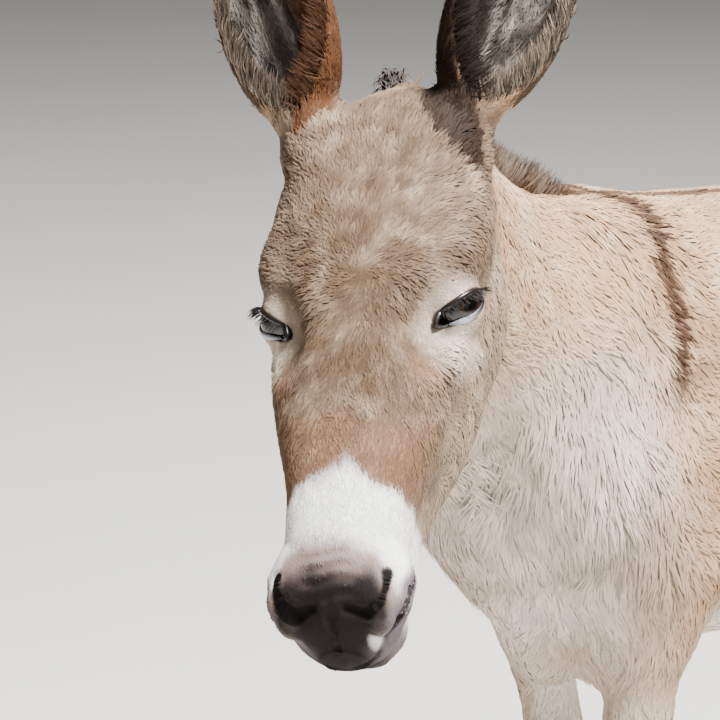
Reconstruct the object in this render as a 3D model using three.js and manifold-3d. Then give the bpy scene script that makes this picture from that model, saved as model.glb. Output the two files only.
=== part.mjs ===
// A life-size donkey standing at rest, its head low and turned a little to its left.
// Millimetres, +Z up; the animal faces -Y and its left side is +X. The soles stand on Z = 0.
// The body's masses are smooth distance fields, blended into one form. Each named part is a
// mesh of that form on a grid of its own, parted from its neighbours by thin flat cuts.
import * as THREE from 'three';
import { mergeVertices } from 'three/addons/utils/BufferGeometryUtils.js';
import Module from 'manifold-3d';

const wasm = await Module();
wasm.setup();

// ---- Driving dimensions ----
const withersHeight = 1070;
const headLength = 482; // poll to lips
const eyeRadius = 21.5;
const eyeGap = 0.5;
const orbitRadius = 27; // the hollow that the lids fill
const earLength = 215; // above the base cut
const cutGap = 0.2; // half the width of each parting cut
const skinGap = 0.6; // between a fitted piece and the form that it sits on
const standCentre = [94, 73]; // ground point under the middle of the bounding box

// ---- Pose ----
const deg = Math.PI / 180;
const headHeading = 30 * deg; // to the left of straight ahead
const headPitch = 45.5 * deg; // the face line below the horizontal
const headLean = 8.8 * deg; // the crown tips to the animal's left
const poll = [164, -445, 1212];
const neckBase = [0, -70, 872];
const neckReach = [30, -250, 985]; // control point of the neck's curve

// ---- Materials ----
const material = (color, roughness) => new THREE.MeshStandardMaterial({ color, roughness, metalness: 0 });
const coat = material('#a8968a', 0.92);
const paleCoat = material('#d9d3cb', 0.92);
const muzzleSkin = material('#5b504c', 0.75);
const earCoat = material('#6b5346', 0.92);
const maneHair = material('#5d5049', 0.9);
const hornGrey = material('#4a4541', 0.6);
const eyeDark = material('#1c1512', 0.08);

// ---- Small vector helpers ----
const add = (a, b, k = 1) => [a[0] + b[0] * k, a[1] + b[1] * k, a[2] + b[2] * k];
const sub = (a, b) => [a[0] - b[0], a[1] - b[1], a[2] - b[2]];
const dot = (a, b) => a[0] * b[0] + a[1] * b[1] + a[2] * b[2];
const unit = (a) => a.map((v) => v / Math.hypot(...a));
const cross = (a, b) => [a[1] * b[2] - a[2] * b[1], a[2] * b[0] - a[0] * b[2], a[0] * b[1] - a[1] * b[0]];
const mix = (a, b, t) => a.map((v, i) => v + (b[i] - v) * t);

// ---- Fields: negative inside, about a distance in millimetres near the surface ----
function blend(a, b, k) {
  const h = Math.max(k - Math.abs(a - b), 0) / k;
  return Math.min(a, b) - (h * h * k) / 4;
}

const carve = (a, b, k) => -blend(-a, b, k);

// A rounded mass with three half-sizes, turned by a pitch about X.
function mass(centre, half, pitch = 0) {
  const c = Math.cos(pitch * deg), s = Math.sin(pitch * deg);
  return (p) => {
    const d = sub(p, centre);
    const q = [d[0] / half[0], (c * d[1] + s * d[2]) / half[1], (c * d[2] - s * d[1]) / half[2]];
    const k0 = Math.hypot(...q);
    const k1 = Math.hypot(q[0] / half[0], q[1] / half[1], q[2] / half[2]);
    return k1 > 1e-9 ? (k0 * (k0 - 1)) / k1 : -Math.min(...half);
  };
}

// A tapering limb between two points; flat < 1 makes it narrower along the side axis.
function limb(from, to, r0, r1, flat = 1, side = [1, 0, 0]) {
  const squeeze = (p) => add(p, side, dot(p, side) * (1 / flat - 1));
  const a = squeeze(from), ab = sub(squeeze(to), a), len2 = dot(ab, ab);
  return (p) => {
    const ap = sub(squeeze(p), a);
    const t = Math.min(1, Math.max(0, dot(ap, ab) / len2));
    const away = Math.hypot(ap[0] - ab[0] * t, ap[1] - ab[1] * t, ap[2] - ab[2] * t);
    return (away - (r0 + (r1 - r0) * t)) * (flat + 1) * 0.5;
  };
}

// Values between stations, by a smooth curve through them.
function along(stations, s) {
  const n = stations.length;
  const t = Math.min(stations[n - 1][0], Math.max(stations[0][0], s));
  let i = 0;
  while (i < n - 2 && t > stations[i + 1][0]) i++;
  const [a, b] = [stations[i], stations[i + 1]];
  const [before, after] = [stations[Math.max(0, i - 1)], stations[Math.min(n - 1, i + 2)]];
  const span = b[0] - a[0], u = (t - a[0]) / span, u2 = u * u, u3 = u2 * u;
  return a.map((v, k) => {
    const m0 = ((b[k] - before[k]) / (b[0] - before[0])) * span;
    const m1 = ((after[k] - v) / (after[0] - a[0])) * span;
    return (2 * u3 - 3 * u2 + 1) * v + (u3 - 2 * u2 + u) * m0 + (3 * u2 - 2 * u3) * b[k] + (u3 - u2) * m1;
  });
}

// A form lofted along Y through stations of [y, top, widest level, bottom, half-width].
function loft(stations, power) {
  const first = stations[0][0], last = stations[stations.length - 1][0];
  return ([x, y, z]) => {
    const [, top, level, bottom, half] = along(stations, y);
    const h = z > level ? top - level : level - bottom;
    const a = Math.abs(x) / half, b = Math.abs(z - level) / h;
    const q = Math.pow(a ** power + b ** power, 1 / power);
    const slope = Math.hypot(a ** (power - 1) / half, b ** (power - 1) / h) * q ** (1 - power);
    const round = q > 1e-6 ? (q - 1) / slope : -Math.min(half, h);
    return Math.max(round, first - y, y - last);
  };
}

const united = (forms, k) => (p) => forms.reduce((d, form) => blend(d, form(p), k), 1e3);
const bothSides = (make) => [make(1), make(-1)];

// ---- Trunk: stations of [y, top, widest level, bottom, half-width] ----
const barrelLoft = loft([
  [-215, 900, 812, 735, 58],
  [-170, 985, 812, 676, 96],
  [-95, 1034, 810, 612, 122],
  [0, withersHeight - 10, 792, 566, 150],
  [140, 1050, 782, 546, 186],
  [290, 1040, 772, 540, 207],
  [430, 1046, 786, 562, 200],
  [550, 1058, 830, 640, 176],
  [650, 1036, 860, 700, 150],
  [730, 975, 870, 760, 100],
  [762, 930, 870, 810, 55],
], 2.3);

const breast = [
  ...bothSides((side) => mass([50 * side, -100, 740], [50, 64, 64], -12)),
  mass([0, -86, 688], [58, 76, 74]),
  mass([0, -30, 596], [54, 80, 72]), // brisket
];
const shoulder = (side) => united([
  limb([64 * side, 10, 975], [106 * side, -72, 800], 74, 84, 0.62), // blade
  limb([106 * side, -82, 768], [104 * side, -15, 668], 74, 64, 0.8), // upper arm
  mass([103 * side, 0, 745], [50, 92, 104], 20), // triceps
], 40);
const rump = (side) => united([
  mass([92 * side, 565, 955], [82, 120, 92], -8), // croup
  mass([102 * side, 640, 840], [74, 128, 165], 8), // thigh
  mass([92 * side, 715, 855], [60, 62, 110], -10), // buttock
  limb([118 * side, 560, 800], [122 * side, 505, 665], 100, 66, 0.75), // towards the stifle
], 40);

// ---- Legs: chains of [forward or back, height, half-width, half-depth] under a hoof centre ----
const foreChain = [
  [44, 690, 56, 84], [36, 610, 47, 61], [30, 530, 39, 46], [25, 440, 33, 38], [20, 372, 34, 37],
  [20, 335, 32, 35], [26, 292, 25, 29], [28, 225, 22, 26], [26, 160, 23, 28], [22, 122, 28, 33],
  [8, 92, 25, 28], [-6, 56, 32, 38],
];
const hindChain = [
  [-108, 680, 64, 96], [-70, 600, 54, 78], [-16, 530, 42, 62], [36, 478, 34, 54], [62, 432, 33, 49],
  [60, 385, 31, 41], [50, 330, 26, 32], [42, 240, 24, 30], [34, 165, 26, 31], [29, 124, 32, 36],
  [14, 92, 27, 30], [0, 56, 34, 40],
];
const hooves = { // centres of the soles
  fore_left: { at: [104, -72], chain: foreChain, pair: 'fore' },
  fore_right: { at: [-84, 140], chain: foreChain, pair: 'fore' },
  hind_left: { at: [104, 628], chain: hindChain, pair: 'hind' },
  hind_right: { at: [-104, 700], chain: hindChain, pair: 'hind' },
};
const meanStance = { fore: -45, hind: 665 };

// A leg swings from its top, so that its hoof stands ahead of or behind the mean stance.
function legJoints({ at, chain, pair }) {
  return chain.map(([y, z, half, depth]) => {
    const swing = 1 - Math.max(0, z - 60) / 640;
    const base = meanStance[pair] + (at[1] - meanStance[pair]) * Math.max(0, swing);
    const splay = Math.sign(at[0]) * (z / 700) * 6;
    return { p: [at[0] + splay, base + y, z], half, depth };
  });
}

function leg(hoof) {
  const joints = legJoints(hoof);
  return united(joints.slice(1).map((b, i) => {
    const a = joints[i];
    return limb(a.p, b.p, a.depth, b.depth, (a.half + b.half) / (a.depth + b.depth));
  }), 12);
}
const legs = Object.values(hooves).map(leg);

// ---- Head, in its own frame: X left, Y from poll to lips, Z out of the forehead ----
const ahead = [Math.sin(headHeading), -Math.cos(headHeading), 0];
const tipped = (v) => (
  new THREE.Vector3(...v).applyAxisAngle(new THREE.Vector3(...ahead), headLean).toArray()
);
const headLeft = tipped([Math.cos(headHeading), Math.sin(headHeading), 0]);
const headForward = tipped(add(ahead.map((v) => v * Math.cos(headPitch)), [0, 0, -Math.sin(headPitch)]));
const headOut = cross(headForward, headLeft);
const toHead = (p) => {
  const d = sub(p, poll);
  return [dot(d, headLeft), dot(d, headForward), dot(d, headOut)];
};
const headTurn = ([x, y, z]) => add(add(headLeft.map((v) => v * x), headForward, y), headOut, z);
const fromHead = (p) => add(poll, headTurn(p));
const part = (share) => share * headLength; // a place along the head

const skullLoft = loft([
  [part(-0.1), -48, -80, -112, 46],
  [part(-0.02), -8, -64, -125, 76],
  [part(0.08), 8, -52, -130, 95],
  [part(0.21), 13, -52, -135, 104],
  [part(0.34), 10, -60, -135, 97],
  [part(0.47), 2, -66, -132, 91],
  [part(0.6), -8, -64, -126, 77],
  [part(0.73), -15, -62, -118, 57],
  [part(0.84), -21, -64, -114, 51],
  [part(0.92), -32, -72, -112, 47],
  [part(0.975), -54, -82, -108, 36],
  [part(1), -74, -90, -102, 17],
], 2.3);
const jawLoft = loft([
  [part(0), -70, -120, -174, 50],
  [part(0.09), -60, -134, -212, 66],
  [part(0.21), -60, -138, -236, 71],
  [part(0.34), -60, -138, -250, 74],
  [part(0.46), -65, -130, -234, 71],
  [part(0.6), -75, -122, -194, 63],
  [part(0.73), -85, -118, -158, 46],
  [part(0.84), -92, -118, -142, 39],
  [part(0.925), -96, -121, -144, 36],
  [part(0.965), -104, -124, -136, 22],
], 2.2);
const eyeCentre = (side) => [75 * side, part(0.376), -50];
const gaze = (side) => unit([0.8 * side, 0.3, 0.52]);
const headSide = (side) => [
  mass([50 * side, part(0.23), -142], [34, 84, 88]), // cheek
  mass([78 * side, part(0.285), -34], [27, 40, 26]), // brow
  mass([48 * side, part(0.06), -20], [40, 52, 30]), // temple
  limb([80 * side, part(0.44), -84], [60 * side, part(0.62), -88], 17, 12), // facial crest
  mass([36 * side, part(0.9), -66], [23, 34, 31]), // nostril
];
const tearHollow = (side) => mass([76 * side, part(0.46), -8], [26, 36, 26]);
const headMasses = united([
  skullLoft, jawLoft,
  ...headSide(1), ...headSide(-1),
  mass([0, part(0.955), -92], [40, 26, 24]), // upper lip
  mass([0, part(0.915), -126], [31, 30, 17]), // chin
], 16);
const tearHollows = bothSides(tearHollow); // in front of the eyes' inner corners
const headForms = (q) => tearHollows.reduce((d, hollow) => carve(d, hollow(q), 18), headMasses(q));

// ---- Ears: a leaf rolled into a deep cup, with its base on the side of the poll ----
const ears = { // in the head's frame; the left ear is turned further out
  left: { side: 1, root: [59, 14, -44], axis: [0.42, -0.83, 0.38], facing: [0.66, 0.5, 0.7] },
  right: { side: -1, root: [-67, 12, -44], axis: [-0.2, -0.82, 0.54], facing: [-0.1, 0.55, 0.92] },
};
const earRise = 34; // from the root to the base cut
const earProfile = [ // [share of length, half-width, depth, half-angle of the roll, wall]
  [0, 31, 30, 150, 24],
  [0.08, 42, 31, 135, 17],
  [0.2, 52, 33, 120, 12],
  [0.38, 58, 31, 108, 10],
  [0.58, 54, 26, 100, 9],
  [0.76, 42, 19, 95, 9],
  [0.9, 25, 12, 92, 8],
  [0.97, 13, 8, 90, 6],
  [1, 5, 4, 90, 3],
];
function earFrame({ root, axis, facing }) {
  const along = unit(axis);
  const out = unit(add(facing, along, -dot(facing, along)));
  return { base: add(root, along, earRise), axis: along, facing: out, across: cross(along, out) };
}
const earStub = (ear) => {
  const { base, axis } = earFrame(ear);
  return limb(ear.root, add(base, axis, 12), 40, 32);
};

const headField = united([headForms, earStub(ears.left), earStub(ears.right)], 22);

// ---- Neck: a run of deep, narrow sections along a bent line ----
const neckEnd = fromHead([0, part(0.02), -88]);
const neckPoint = (t) => mix(mix(neckBase, neckReach, t), mix(neckReach, neckEnd, t), t);
const neckSections = [ // [share of the way, half-depth, half-width]
  [0, 172, 116], [0.2, 158, 102], [0.42, 138, 88], [0.65, 120, 78], [0.85, 103, 70], [1, 84, 62],
];
const neckSteps = 7;
const neckForm = united(Array.from({ length: neckSteps }, (_, i) => {
  const [t0, t1] = [i / neckSteps, (i + 1) / neckSteps];
  const [, depth0, half0] = along(neckSections, t0);
  const [, depth1, half1] = along(neckSections, t1);
  const [a, b] = [neckPoint(t0), neckPoint(t1)];
  const side = unit(cross(sub(b, a), [0, 0, 1]));
  return limb(a, b, depth0, depth1, (half0 + half1) / (depth0 + depth1), side);
}), 24);

// ---- The whole body as one field ----
const trunkForms = united([
  barrelLoft, ...breast, ...bothSides(shoulder), ...bothSides(rump),
], 55);
const trunkAndNeck = (p) => blend(trunkForms(p), neckForm(p), 70);
const withHead = (p) => blend(trunkAndNeck(p), headField(toHead(p)), 34);
const body = (p) => {
  const upper = p[1] < -260 || p[2] > 1000 ? withHead(p) : trunkAndNeck(p);
  return p[2] > 820 ? upper : legs.reduce((d, form) => blend(d, form(p), 55), upper);
};

// ---- Meshing: one vertex in each grid cell that the surface crosses ----
function solidOf(geometry) {
  const bare = geometry.clone();
  bare.deleteAttribute('normal');
  bare.deleteAttribute('uv');
  const merged = mergeVertices(bare, 1e-3);
  return new wasm.Manifold(new wasm.Mesh({
    numProp: 3,
    vertProperties: new Float32Array(merged.attributes.position.array),
    triVerts: new Uint32Array(merged.index.array),
  }));
}

function settle(field, p) {
  const e = 0.5;
  for (let step = 0; step < 3; step++) {
    const f = field(p);
    const g = [0, 1, 2].map((k) => {
      const q = [...p];
      q[k] += e;
      return (field(q) - f) / e;
    });
    const g2 = Math.max(dot(g, g), 0.05);
    p = add(p, g, (-f / g2) * 0.9);
  }
  return p;
}

// Grid places of a box of cells, each passed to visit as [i, j, k].
function eachPlace(from, to, visit) {
  for (let k = from; k < to[2]; k++) {
    for (let j = from; j < to[1]; j++) {
      for (let i = from; i < to[0]; i++) visit([i, j, k]);
    }
  }
}

const cubeCorners = [0, 1, 2, 3, 4, 5, 6, 7].map((c) => [c & 1, (c >> 1) & 1, c >> 2]);
const cubeEdges = cubeCorners.flatMap((a, i) => cubeCorners.slice(i + 1)
  .filter((b) => Math.hypot(...sub(a, b)) === 1).map((b) => [a, b]));
const axisSteps = [[1, 0, 0], [0, 1, 0], [0, 0, 1]];

// Cell sizes run along the frame's three axes; the frame keeps the cells in line with the part.
function formMesh(field, low, high, cell, frame = axisSteps) {
  const count = low.map((v, k) => Math.ceil((high[k] - v) / cell[k]) + 1);
  const at = (g) => (g[2] * count[1] + g[1]) * count[0] + g[0];
  const spot = (g) => {
    const [u, v, w] = g.map((n, k) => low[k] + n * cell[k]);
    return add(add(frame[0].map((c) => c * u), frame[1], v), frame[2], w);
  };
  const value = new Float64Array(count[0] * count[1] * count[2]);
  eachPlace(0, count, (g) => {
    const rim = g.some((n, k) => n === 0 || n === count[k] - 1);
    value[at(g)] = rim ? Math.max(1, field(spot(g))) : field(spot(g));
  });
  const points = [], index = new Map(), faces = [];
  const vertexOf = (g) => {
    if (index.has(at(g))) return index.get(at(g));
    const crossings = [];
    for (const [a, b] of cubeEdges) {
      const va = value[at(add(g, a))], vb = value[at(add(g, b))];
      if (va < 0 !== vb < 0) crossings.push(mix(spot(add(g, a)), spot(add(g, b)), va / (va - vb)));
    }
    const middle = crossings.reduce((m, c) => add(m, c, 1 / crossings.length), [0, 0, 0]);
    const rim = g.some((n, k) => n === 0 || n === count[k] - 2);
    points.push(rim ? middle : settle(field, middle));
    index.set(at(g), points.length - 1);
    return points.length - 1;
  };
  const apart = (a, b) => Math.hypot(...sub(points[a], points[b]));
  eachPlace(0, count.map((n) => n - 1), (g) => axisSteps.forEach((step, axis) => {
    const [u, v] = [(axis + 1) % 3, (axis + 2) % 3];
    const inside = value[at(g)] < 0;
    if (g[u] === 0 || g[v] === 0 || inside === value[at(add(g, step))] < 0) return;
    const ring = [[1, 1], [0, 1], [0, 0], [1, 0]].map(([du, dv]) => {
      return vertexOf(sub(sub(g, axisSteps[u].map((n) => n * du)), axisSteps[v].map((n) => n * dv)));
    });
    if (!inside) ring.reverse();
    const [a, b, c, d] = ring;
    faces.push(...(apart(a, c) < apart(b, d) ? [a, b, c, a, c, d] : [a, b, d, b, c, d]));
  }));
  return solidOf(shell(points, faces));
}

function shell(points, faces) {
  const geometry = new THREE.BufferGeometry();
  geometry.setAttribute('position', new THREE.Float32BufferAttribute(points.flat(), 3));
  geometry.setIndex(faces);
  return geometry;
}

// Rings of points joined into a closed skin with a flat fan at each end.
function ringSolid(rings) {
  const per = rings[0].length, faces = [];
  for (let r = 0; r < rings.length - 1; r++) {
    for (let i = 0; i < per; i++) {
      const a = r * per + i, b = r * per + ((i + 1) % per);
      faces.push(a, b, b + per, a, b + per, a + per);
    }
  }
  const last = (rings.length - 1) * per;
  for (let i = 1; i < per - 1; i++) faces.push(0, i + 1, i, last, last + i, last + i + 1);
  return solidOf(shell(rings.flat(), faces));
}

// ---- Cuts ----
// Keeps the side of a plane that its normal points to, half a gap away from it.
function keep(solid, normal, point) {
  const n = unit(normal);
  return solid.trimByPlane(n, dot(n, point) + cutGap);
}
const flipped = (v) => v.map((c) => -c);

function ball(centre, radius) {
  const sphere = new THREE.SphereGeometry(radius, 12, 8);
  sphere.translate(...centre);
  return solidOf(sphere);
}

// Each plane's normal points to the part named first.
const throat = { normal: unit(headTurn([0, 0.83, 0.55])), point: fromHead([0, -45, -45]) }; // head, neck
const collar = { normal: unit([0.13, -0.86, 0.5]), point: [0, -165, 965] }; // neck, shoulders
const girth = 135; // shoulders, barrel
const flank = 440; // barrel, hindquarters
const legRoot = { // trunk, legs
  fore: { normal: [0, 0, 1], point: [0, 0, 526] },
  hind: { normal: unit([0, -0.32, 0.95]), point: [0, 440, 549] },
};
const legTop = { fore: 540, hind: 680 };
const legJoint = { fore: 300, hind: 372 }; // forearm or gaskin, cannon
const coronet = 57;

// ---- Parts ----
const parts = new THREE.Group();
function addPart(name, solid, look) {
  const { vertProperties, triVerts } = solid.getMesh();
  const geometry = new THREE.BufferGeometry();
  geometry.setAttribute('position', new THREE.BufferAttribute(new Float32Array(vertProperties), 3));
  geometry.setIndex(new THREE.BufferAttribute(new Uint32Array(triVerts), 1));
  geometry.computeVertexNormals();
  const mesh = new THREE.Mesh(geometry, look);
  mesh.name = name;
  parts.add(mesh);
}
// The largest piece of a cut solid: slivers off a rough edge are dropped.
const largest = (solid) => solid.decompose().reduce((a, b) => (b.volume() > a.volume() ? b : a));

// Trunk, in three lengths; the tops of the legs end in flat cuts.
const trunkCell = [50, 54, 50];
const trunkGrid = (field, from, to) => formMesh(field, [-276, from, 490], [276, to, 1180], trunkCell);
const trunkPiece = (from, to) => trunkGrid(body, from, to);
const inflated = (field) => (p) => field(p) - skinGap;
const trunkBlank = (from, to) => trunkGrid(inflated(body), from, to); // cuts what sits on the trunk
const [forwards, backwards, upwards] = [[0, -1, 0], [0, 1, 0], [0, 0, 1]];
const aboveLegs = (solid, pair) => largest(keep(solid, legRoot[pair].normal, legRoot[pair].point));
const front = keep(trunkPiece(-420, 215), flipped(collar.normal), collar.point);
addPart('shoulders', aboveLegs(keep(front, forwards, [0, girth, 0]), 'fore'), coat);
const middle = keep(trunkPiece(55, 520), backwards, [0, girth, 0]);
addPart('barrel', largest(keep(middle, forwards, [0, flank, 0])), coat);
const rear = keep(trunkPiece(355, 860), backwards, [0, flank, 0]);
addPart('hindquarters', aboveLegs(rear, 'hind'), coat);

// Neck
const neckFrame = (() => {
  const run = unit(sub(neckEnd, neckBase));
  const side = unit(cross(run, [0, 0, 1]));
  return [side, run, cross(side, run)];
})();
const neckMiddle = neckFrame.map((axis) => dot(mix(neckBase, neckEnd, 0.5), axis));
const neckGrid = (field) => {
  const reach = [190, 350, 270];
  return formMesh(field, sub(neckMiddle, reach), add(neckMiddle, reach), [40, 48, 44], neckFrame);
};
const neckBlank = neckGrid(inflated(body)); // cuts what sits on the neck
const neckWhole = keep(neckGrid(body), collar.normal, collar.point);
addPart('neck', largest(keep(neckWhole, flipped(throat.normal), throat.point)), coat);

// Head: the skull with the cheeks, then a finer muzzle, parted at the mouth from the lower lip.
const headFrame = [headLeft, headOut, headForward];
const headGrid = (from, to, cell) => {
  const low = headFrame.map((axis) => dot(poll, axis));
  return formMesh(withHead, add(low, [-170, -280, from]), add(low, [170, 90, to]), cell, headFrame);
};
const mouthEnd = { normal: headTurn([0, 1, 0]), point: fromHead([0, part(0.8), 0]) };
let head = keep(headGrid(-150, part(0.8) + 60, [25, 25, 31]), throat.normal, throat.point);
head = keep(head, flipped(mouthEnd.normal), mouthEnd.point);
for (const ear of Object.values(ears)) {
  const { base, axis } = earFrame(ear);
  head = keep(head, flipped(headTurn(axis)), fromHead(base));
  head = head.subtract(ball(fromHead(eyeCentre(ear.side)), eyeRadius + eyeGap));
  head = head.subtract(ball(fromHead(add(eyeCentre(ear.side), gaze(ear.side), 19)), orbitRadius));
}
addPart('head', largest(head), coat);

const headPlace = new THREE.Matrix4().makeBasis(...headFrame.map((axis) => new THREE.Vector3(...axis)));
headPlace.setPosition(...poll);
const nostrilPit = (side) => {
  const pit = new THREE.SphereGeometry(1, 10, 6); // X left, Y out, Z along the head
  pit.scale(7, 11, 15);
  pit.rotateY(0.35 * side);
  pit.translate(50 * side, -50, part(0.895));
  return solidOf(pit.applyMatrix4(headPlace));
};
const mouth = { normal: headTurn(unit([0, 0.1, 1])), point: fromHead([0, part(0.9), -108]) };
let lips = keep(headGrid(part(0.8) - 60, part(1.1), [19, 19, 19]), mouthEnd.normal, mouthEnd.point);
for (const side of [1, -1]) lips = lips.subtract(nostrilPit(side));
addPart('muzzle', largest(keep(lips, mouth.normal, mouth.point)), paleCoat);
addPart('lower_lip', largest(keep(lips, flipped(mouth.normal), mouth.point)), muzzleSkin);
for (const [name, side] of [['left', 1], ['right', -1]]) {
  addPart('eye_' + name, ball(fromHead(eyeCentre(side)), eyeRadius), eyeDark);
}

// Ears
function earSolid(ear) {
  const { base, axis, facing, across } = earFrame(ear);
  const levels = 9, arc = 8;
  const points = [], faces = [];
  for (let r = 0; r < levels; r++) {
    const share = 1 - (1 - r / (levels - 1)) ** 1.15;
    const [, half, depth, angle, wall] = along(earProfile, share);
    const bend = 14 * share * share; // the tip curves towards the opening
    const centre = add(add(base, axis, share * earLength + cutGap), facing, bend);
    const outline = (wide, deep, fraction) => {
      const a = angle * deg * fraction;
      return add(add(centre, across, wide * Math.sin(a)), facing, deep * (0.25 - Math.cos(a)));
    };
    for (let i = 0; i <= arc; i++) points.push(outline(half, depth, (2 * i) / arc - 1));
    for (let i = arc; i >= 0; i--) {
      points.push(outline(Math.max(half - wall, 1.2), Math.max(depth - wall, 1), (2 * i) / arc - 1));
    }
  }
  const per = 2 * (arc + 1), last = (levels - 1) * per;
  for (let r = 0; r < levels - 1; r++) {
    for (let i = 0; i < per; i++) {
      const a = r * per + i, b = r * per + ((i + 1) % per);
      faces.push(a, b, b + per, a, b + per, a + per);
    }
  }
  for (let i = 0; i < arc; i++) { // caps between the outer and the inner curve
    const [o0, o1, n0, n1] = [i, i + 1, per - 1 - i, per - 2 - i];
    faces.push(o0, n1, o1, o0, n0, n1);
    faces.push(last + o0, last + o1, last + n1, last + o0, last + n1, last + n0);
  }
  return solidOf(shell(points.map(fromHead), faces));
}
addPart('ear_left', largest(earSolid(ears.left).subtract(neckBlank)), earCoat);
addPart('ear_right', earSolid(ears.right), earCoat);

// Legs and hooves
function legSolid(hoof) {
  const stations = legJoints(hoof).reverse().map(({ p, half, depth }) => [p[2], p[0], p[1], half, depth]);
  const heights = stations.map(([z]) => z).filter((z) => z < legTop[hoof.pair] - 5);
  const rings = [50, ...heights, legTop[hoof.pair]].map((z) => {
    const [, x, y, half, depth] = along(stations, z);
    return Array.from({ length: 12 }, (_, i) => {
      const turn = ((i + 0.5) / 6) * Math.PI;
      return [x + half * Math.cos(turn), y + depth * Math.sin(turn), z];
    });
  });
  return ringSolid(rings);
}
for (const [name, hoof] of Object.entries(hooves)) {
  const { at, pair } = hoof;
  const joint = [0, 0, legJoint[pair]];
  const whole = keep(legSolid(hoof), flipped(legRoot[pair].normal), legRoot[pair].point);
  const upper = (pair === 'fore' ? 'forearm_' : 'gaskin_') + name.split('_')[1];
  addPart(upper, keep(whole, upwards, joint), coat);
  addPart('cannon_' + name, keep(keep(whole, [0, 0, -1], joint), upwards, [0, 0, coronet]), paleCoat);
  addPart('hoof_' + name, hoofSolid(at, pair), hornGrey);
}

function hoofSolid([x, y], pair) {
  const [half, length] = pair === 'hind' ? [32, 44] : [34, 45];
  const wall = new THREE.CylinderGeometry(0.84, 1, coronet - cutGap, 18, 1);
  wall.rotateX(Math.PI / 2); // stands along Z
  wall.scale(half, length, 1);
  wall.applyMatrix4(new THREE.Matrix4().makeShear(0, 0, 0, 0, 0, 0.24)); // the toe slopes forward
  wall.translate(x, y - 8, (coronet - cutGap) / 2);
  return solidOf(wall);
}

// Tail: a dock with short hair, and a switch of long hair at its end.
const chainOf = (line, radii, k) => united(line.slice(1).map((p, i) => (
  limb(line[i], p, radii[i], radii[i + 1])
)), k);
const dock = chainOf(
  [[0, 700, 985], [0, 768, 935], [0, 800, 850], [0, 806, 740], [4, 800, 640]], [33, 28, 24, 20, 17], 14);
const tassel = chainOf(
  [[4, 800, 636], [7, 796, 540], [9, 790, 430], [8, 786, 350]], [20, 36, 35, 16], 20);
const switchTop = [0, 0, 646];
const dockSolid = formMesh(dock, [-60, 640, 600], [60, 860, 1040], [20, 20, 34])
  .subtract(trunkBlank(355, 860));
addPart('tail_dock', largest(keep(dockSolid, upwards, switchTop)), coat);
const switchForm = (p) => blend(dock(p), tassel(p), 16);
const switchSolid = formMesh(switchForm, [-60, 720, 300], [70, 860, 700], [18, 18, 34]);
addPart('tail_switch', keep(switchSolid, [0, 0, -1], switchTop), maneHair);

// Mane: a short upright crest, fallen to the right, from the poll to the withers.
const maneHeight = 46, maneHalf = 13;
const maneSpan = [0.16, 1.04]; // shares of the neck's line
function crestPoint(t) {
  const run = sub(neckPoint(t + 0.02), neckPoint(t - 0.02));
  const up = unit(cross(unit(cross(run, [0, 0, 1])), run));
  const [, depth] = along(neckSections, t);
  const rise = depth + maneHeight * (0.28 - 0.2 * t ** 4);
  return add(add(neckPoint(t), up, rise), headLeft, -20 * t * t); // towards the poll's middle
}
const maneForm = united(Array.from({ length: 10 }, (_, i) => {
  const [a, b] = [i, i + 1].map((n) => crestPoint(maneSpan[0] + ((maneSpan[1] - maneSpan[0]) * n) / 10));
  const reach = maneHeight * 0.62;
  return limb(a, b, reach, reach, maneHalf / reach, neckFrame[0]);
}), 8);
const maneBlank = formMesh(
  maneForm, sub(neckMiddle, [60, 300, -20]), add(neckMiddle, [60, 400, 290]), [14, 36, 20], neckFrame);
const bareMane = maneBlank.subtract(neckBlank).subtract(trunkBlank(-420, 215));
addPart('mane', largest(bareMane), maneHair);

parts.position.set(-standCentre[0], -standCentre[1], 0);
export default parts;
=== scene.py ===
import itertools
import math

import bpy
import numpy as np
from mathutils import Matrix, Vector
from mathutils.kdtree import KDTree


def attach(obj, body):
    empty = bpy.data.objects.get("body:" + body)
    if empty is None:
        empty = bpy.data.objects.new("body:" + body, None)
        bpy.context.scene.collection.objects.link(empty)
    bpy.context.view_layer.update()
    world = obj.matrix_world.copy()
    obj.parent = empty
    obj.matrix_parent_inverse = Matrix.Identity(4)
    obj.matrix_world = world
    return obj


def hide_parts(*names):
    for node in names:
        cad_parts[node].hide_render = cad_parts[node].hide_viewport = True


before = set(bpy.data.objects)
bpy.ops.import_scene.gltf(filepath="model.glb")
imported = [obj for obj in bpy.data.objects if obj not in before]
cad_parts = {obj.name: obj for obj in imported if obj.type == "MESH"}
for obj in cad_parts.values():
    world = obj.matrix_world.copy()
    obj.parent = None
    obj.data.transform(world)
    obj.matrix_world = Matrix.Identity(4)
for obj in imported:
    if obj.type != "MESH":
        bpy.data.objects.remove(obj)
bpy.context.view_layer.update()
print("frame loaded")

# The form is worked out in millimetres, in the part's own plan: the trunk faces -Y.
standCentre = np.array([94.0, 73.0, 0.0])  # ground point under the middle of the model
sides = {"left": 1, "right": -1}  # which way each side lies along X


def toPlan(points):
    return points * 1000 + standCentre


def fromPlan(points):
    return (points - standCentre) / 1000


def unit(v):
    v = np.asarray(v, float)
    return v / np.maximum(np.linalg.norm(v, axis=-1, keepdims=True), 1e-9)


def smoothStep(low, high, value):
    t = np.clip((value - low) / (high - low), 0, 1)
    return t * t * (3 - 2 * t)


# Distance fields, negative inside
def blend(a, b, k):
    h = np.maximum(k - np.abs(a - b), 0) / k
    return np.minimum(a, b) - h * h * k / 4


def carve(a, b, k):
    return -blend(-a, b, k)


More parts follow.
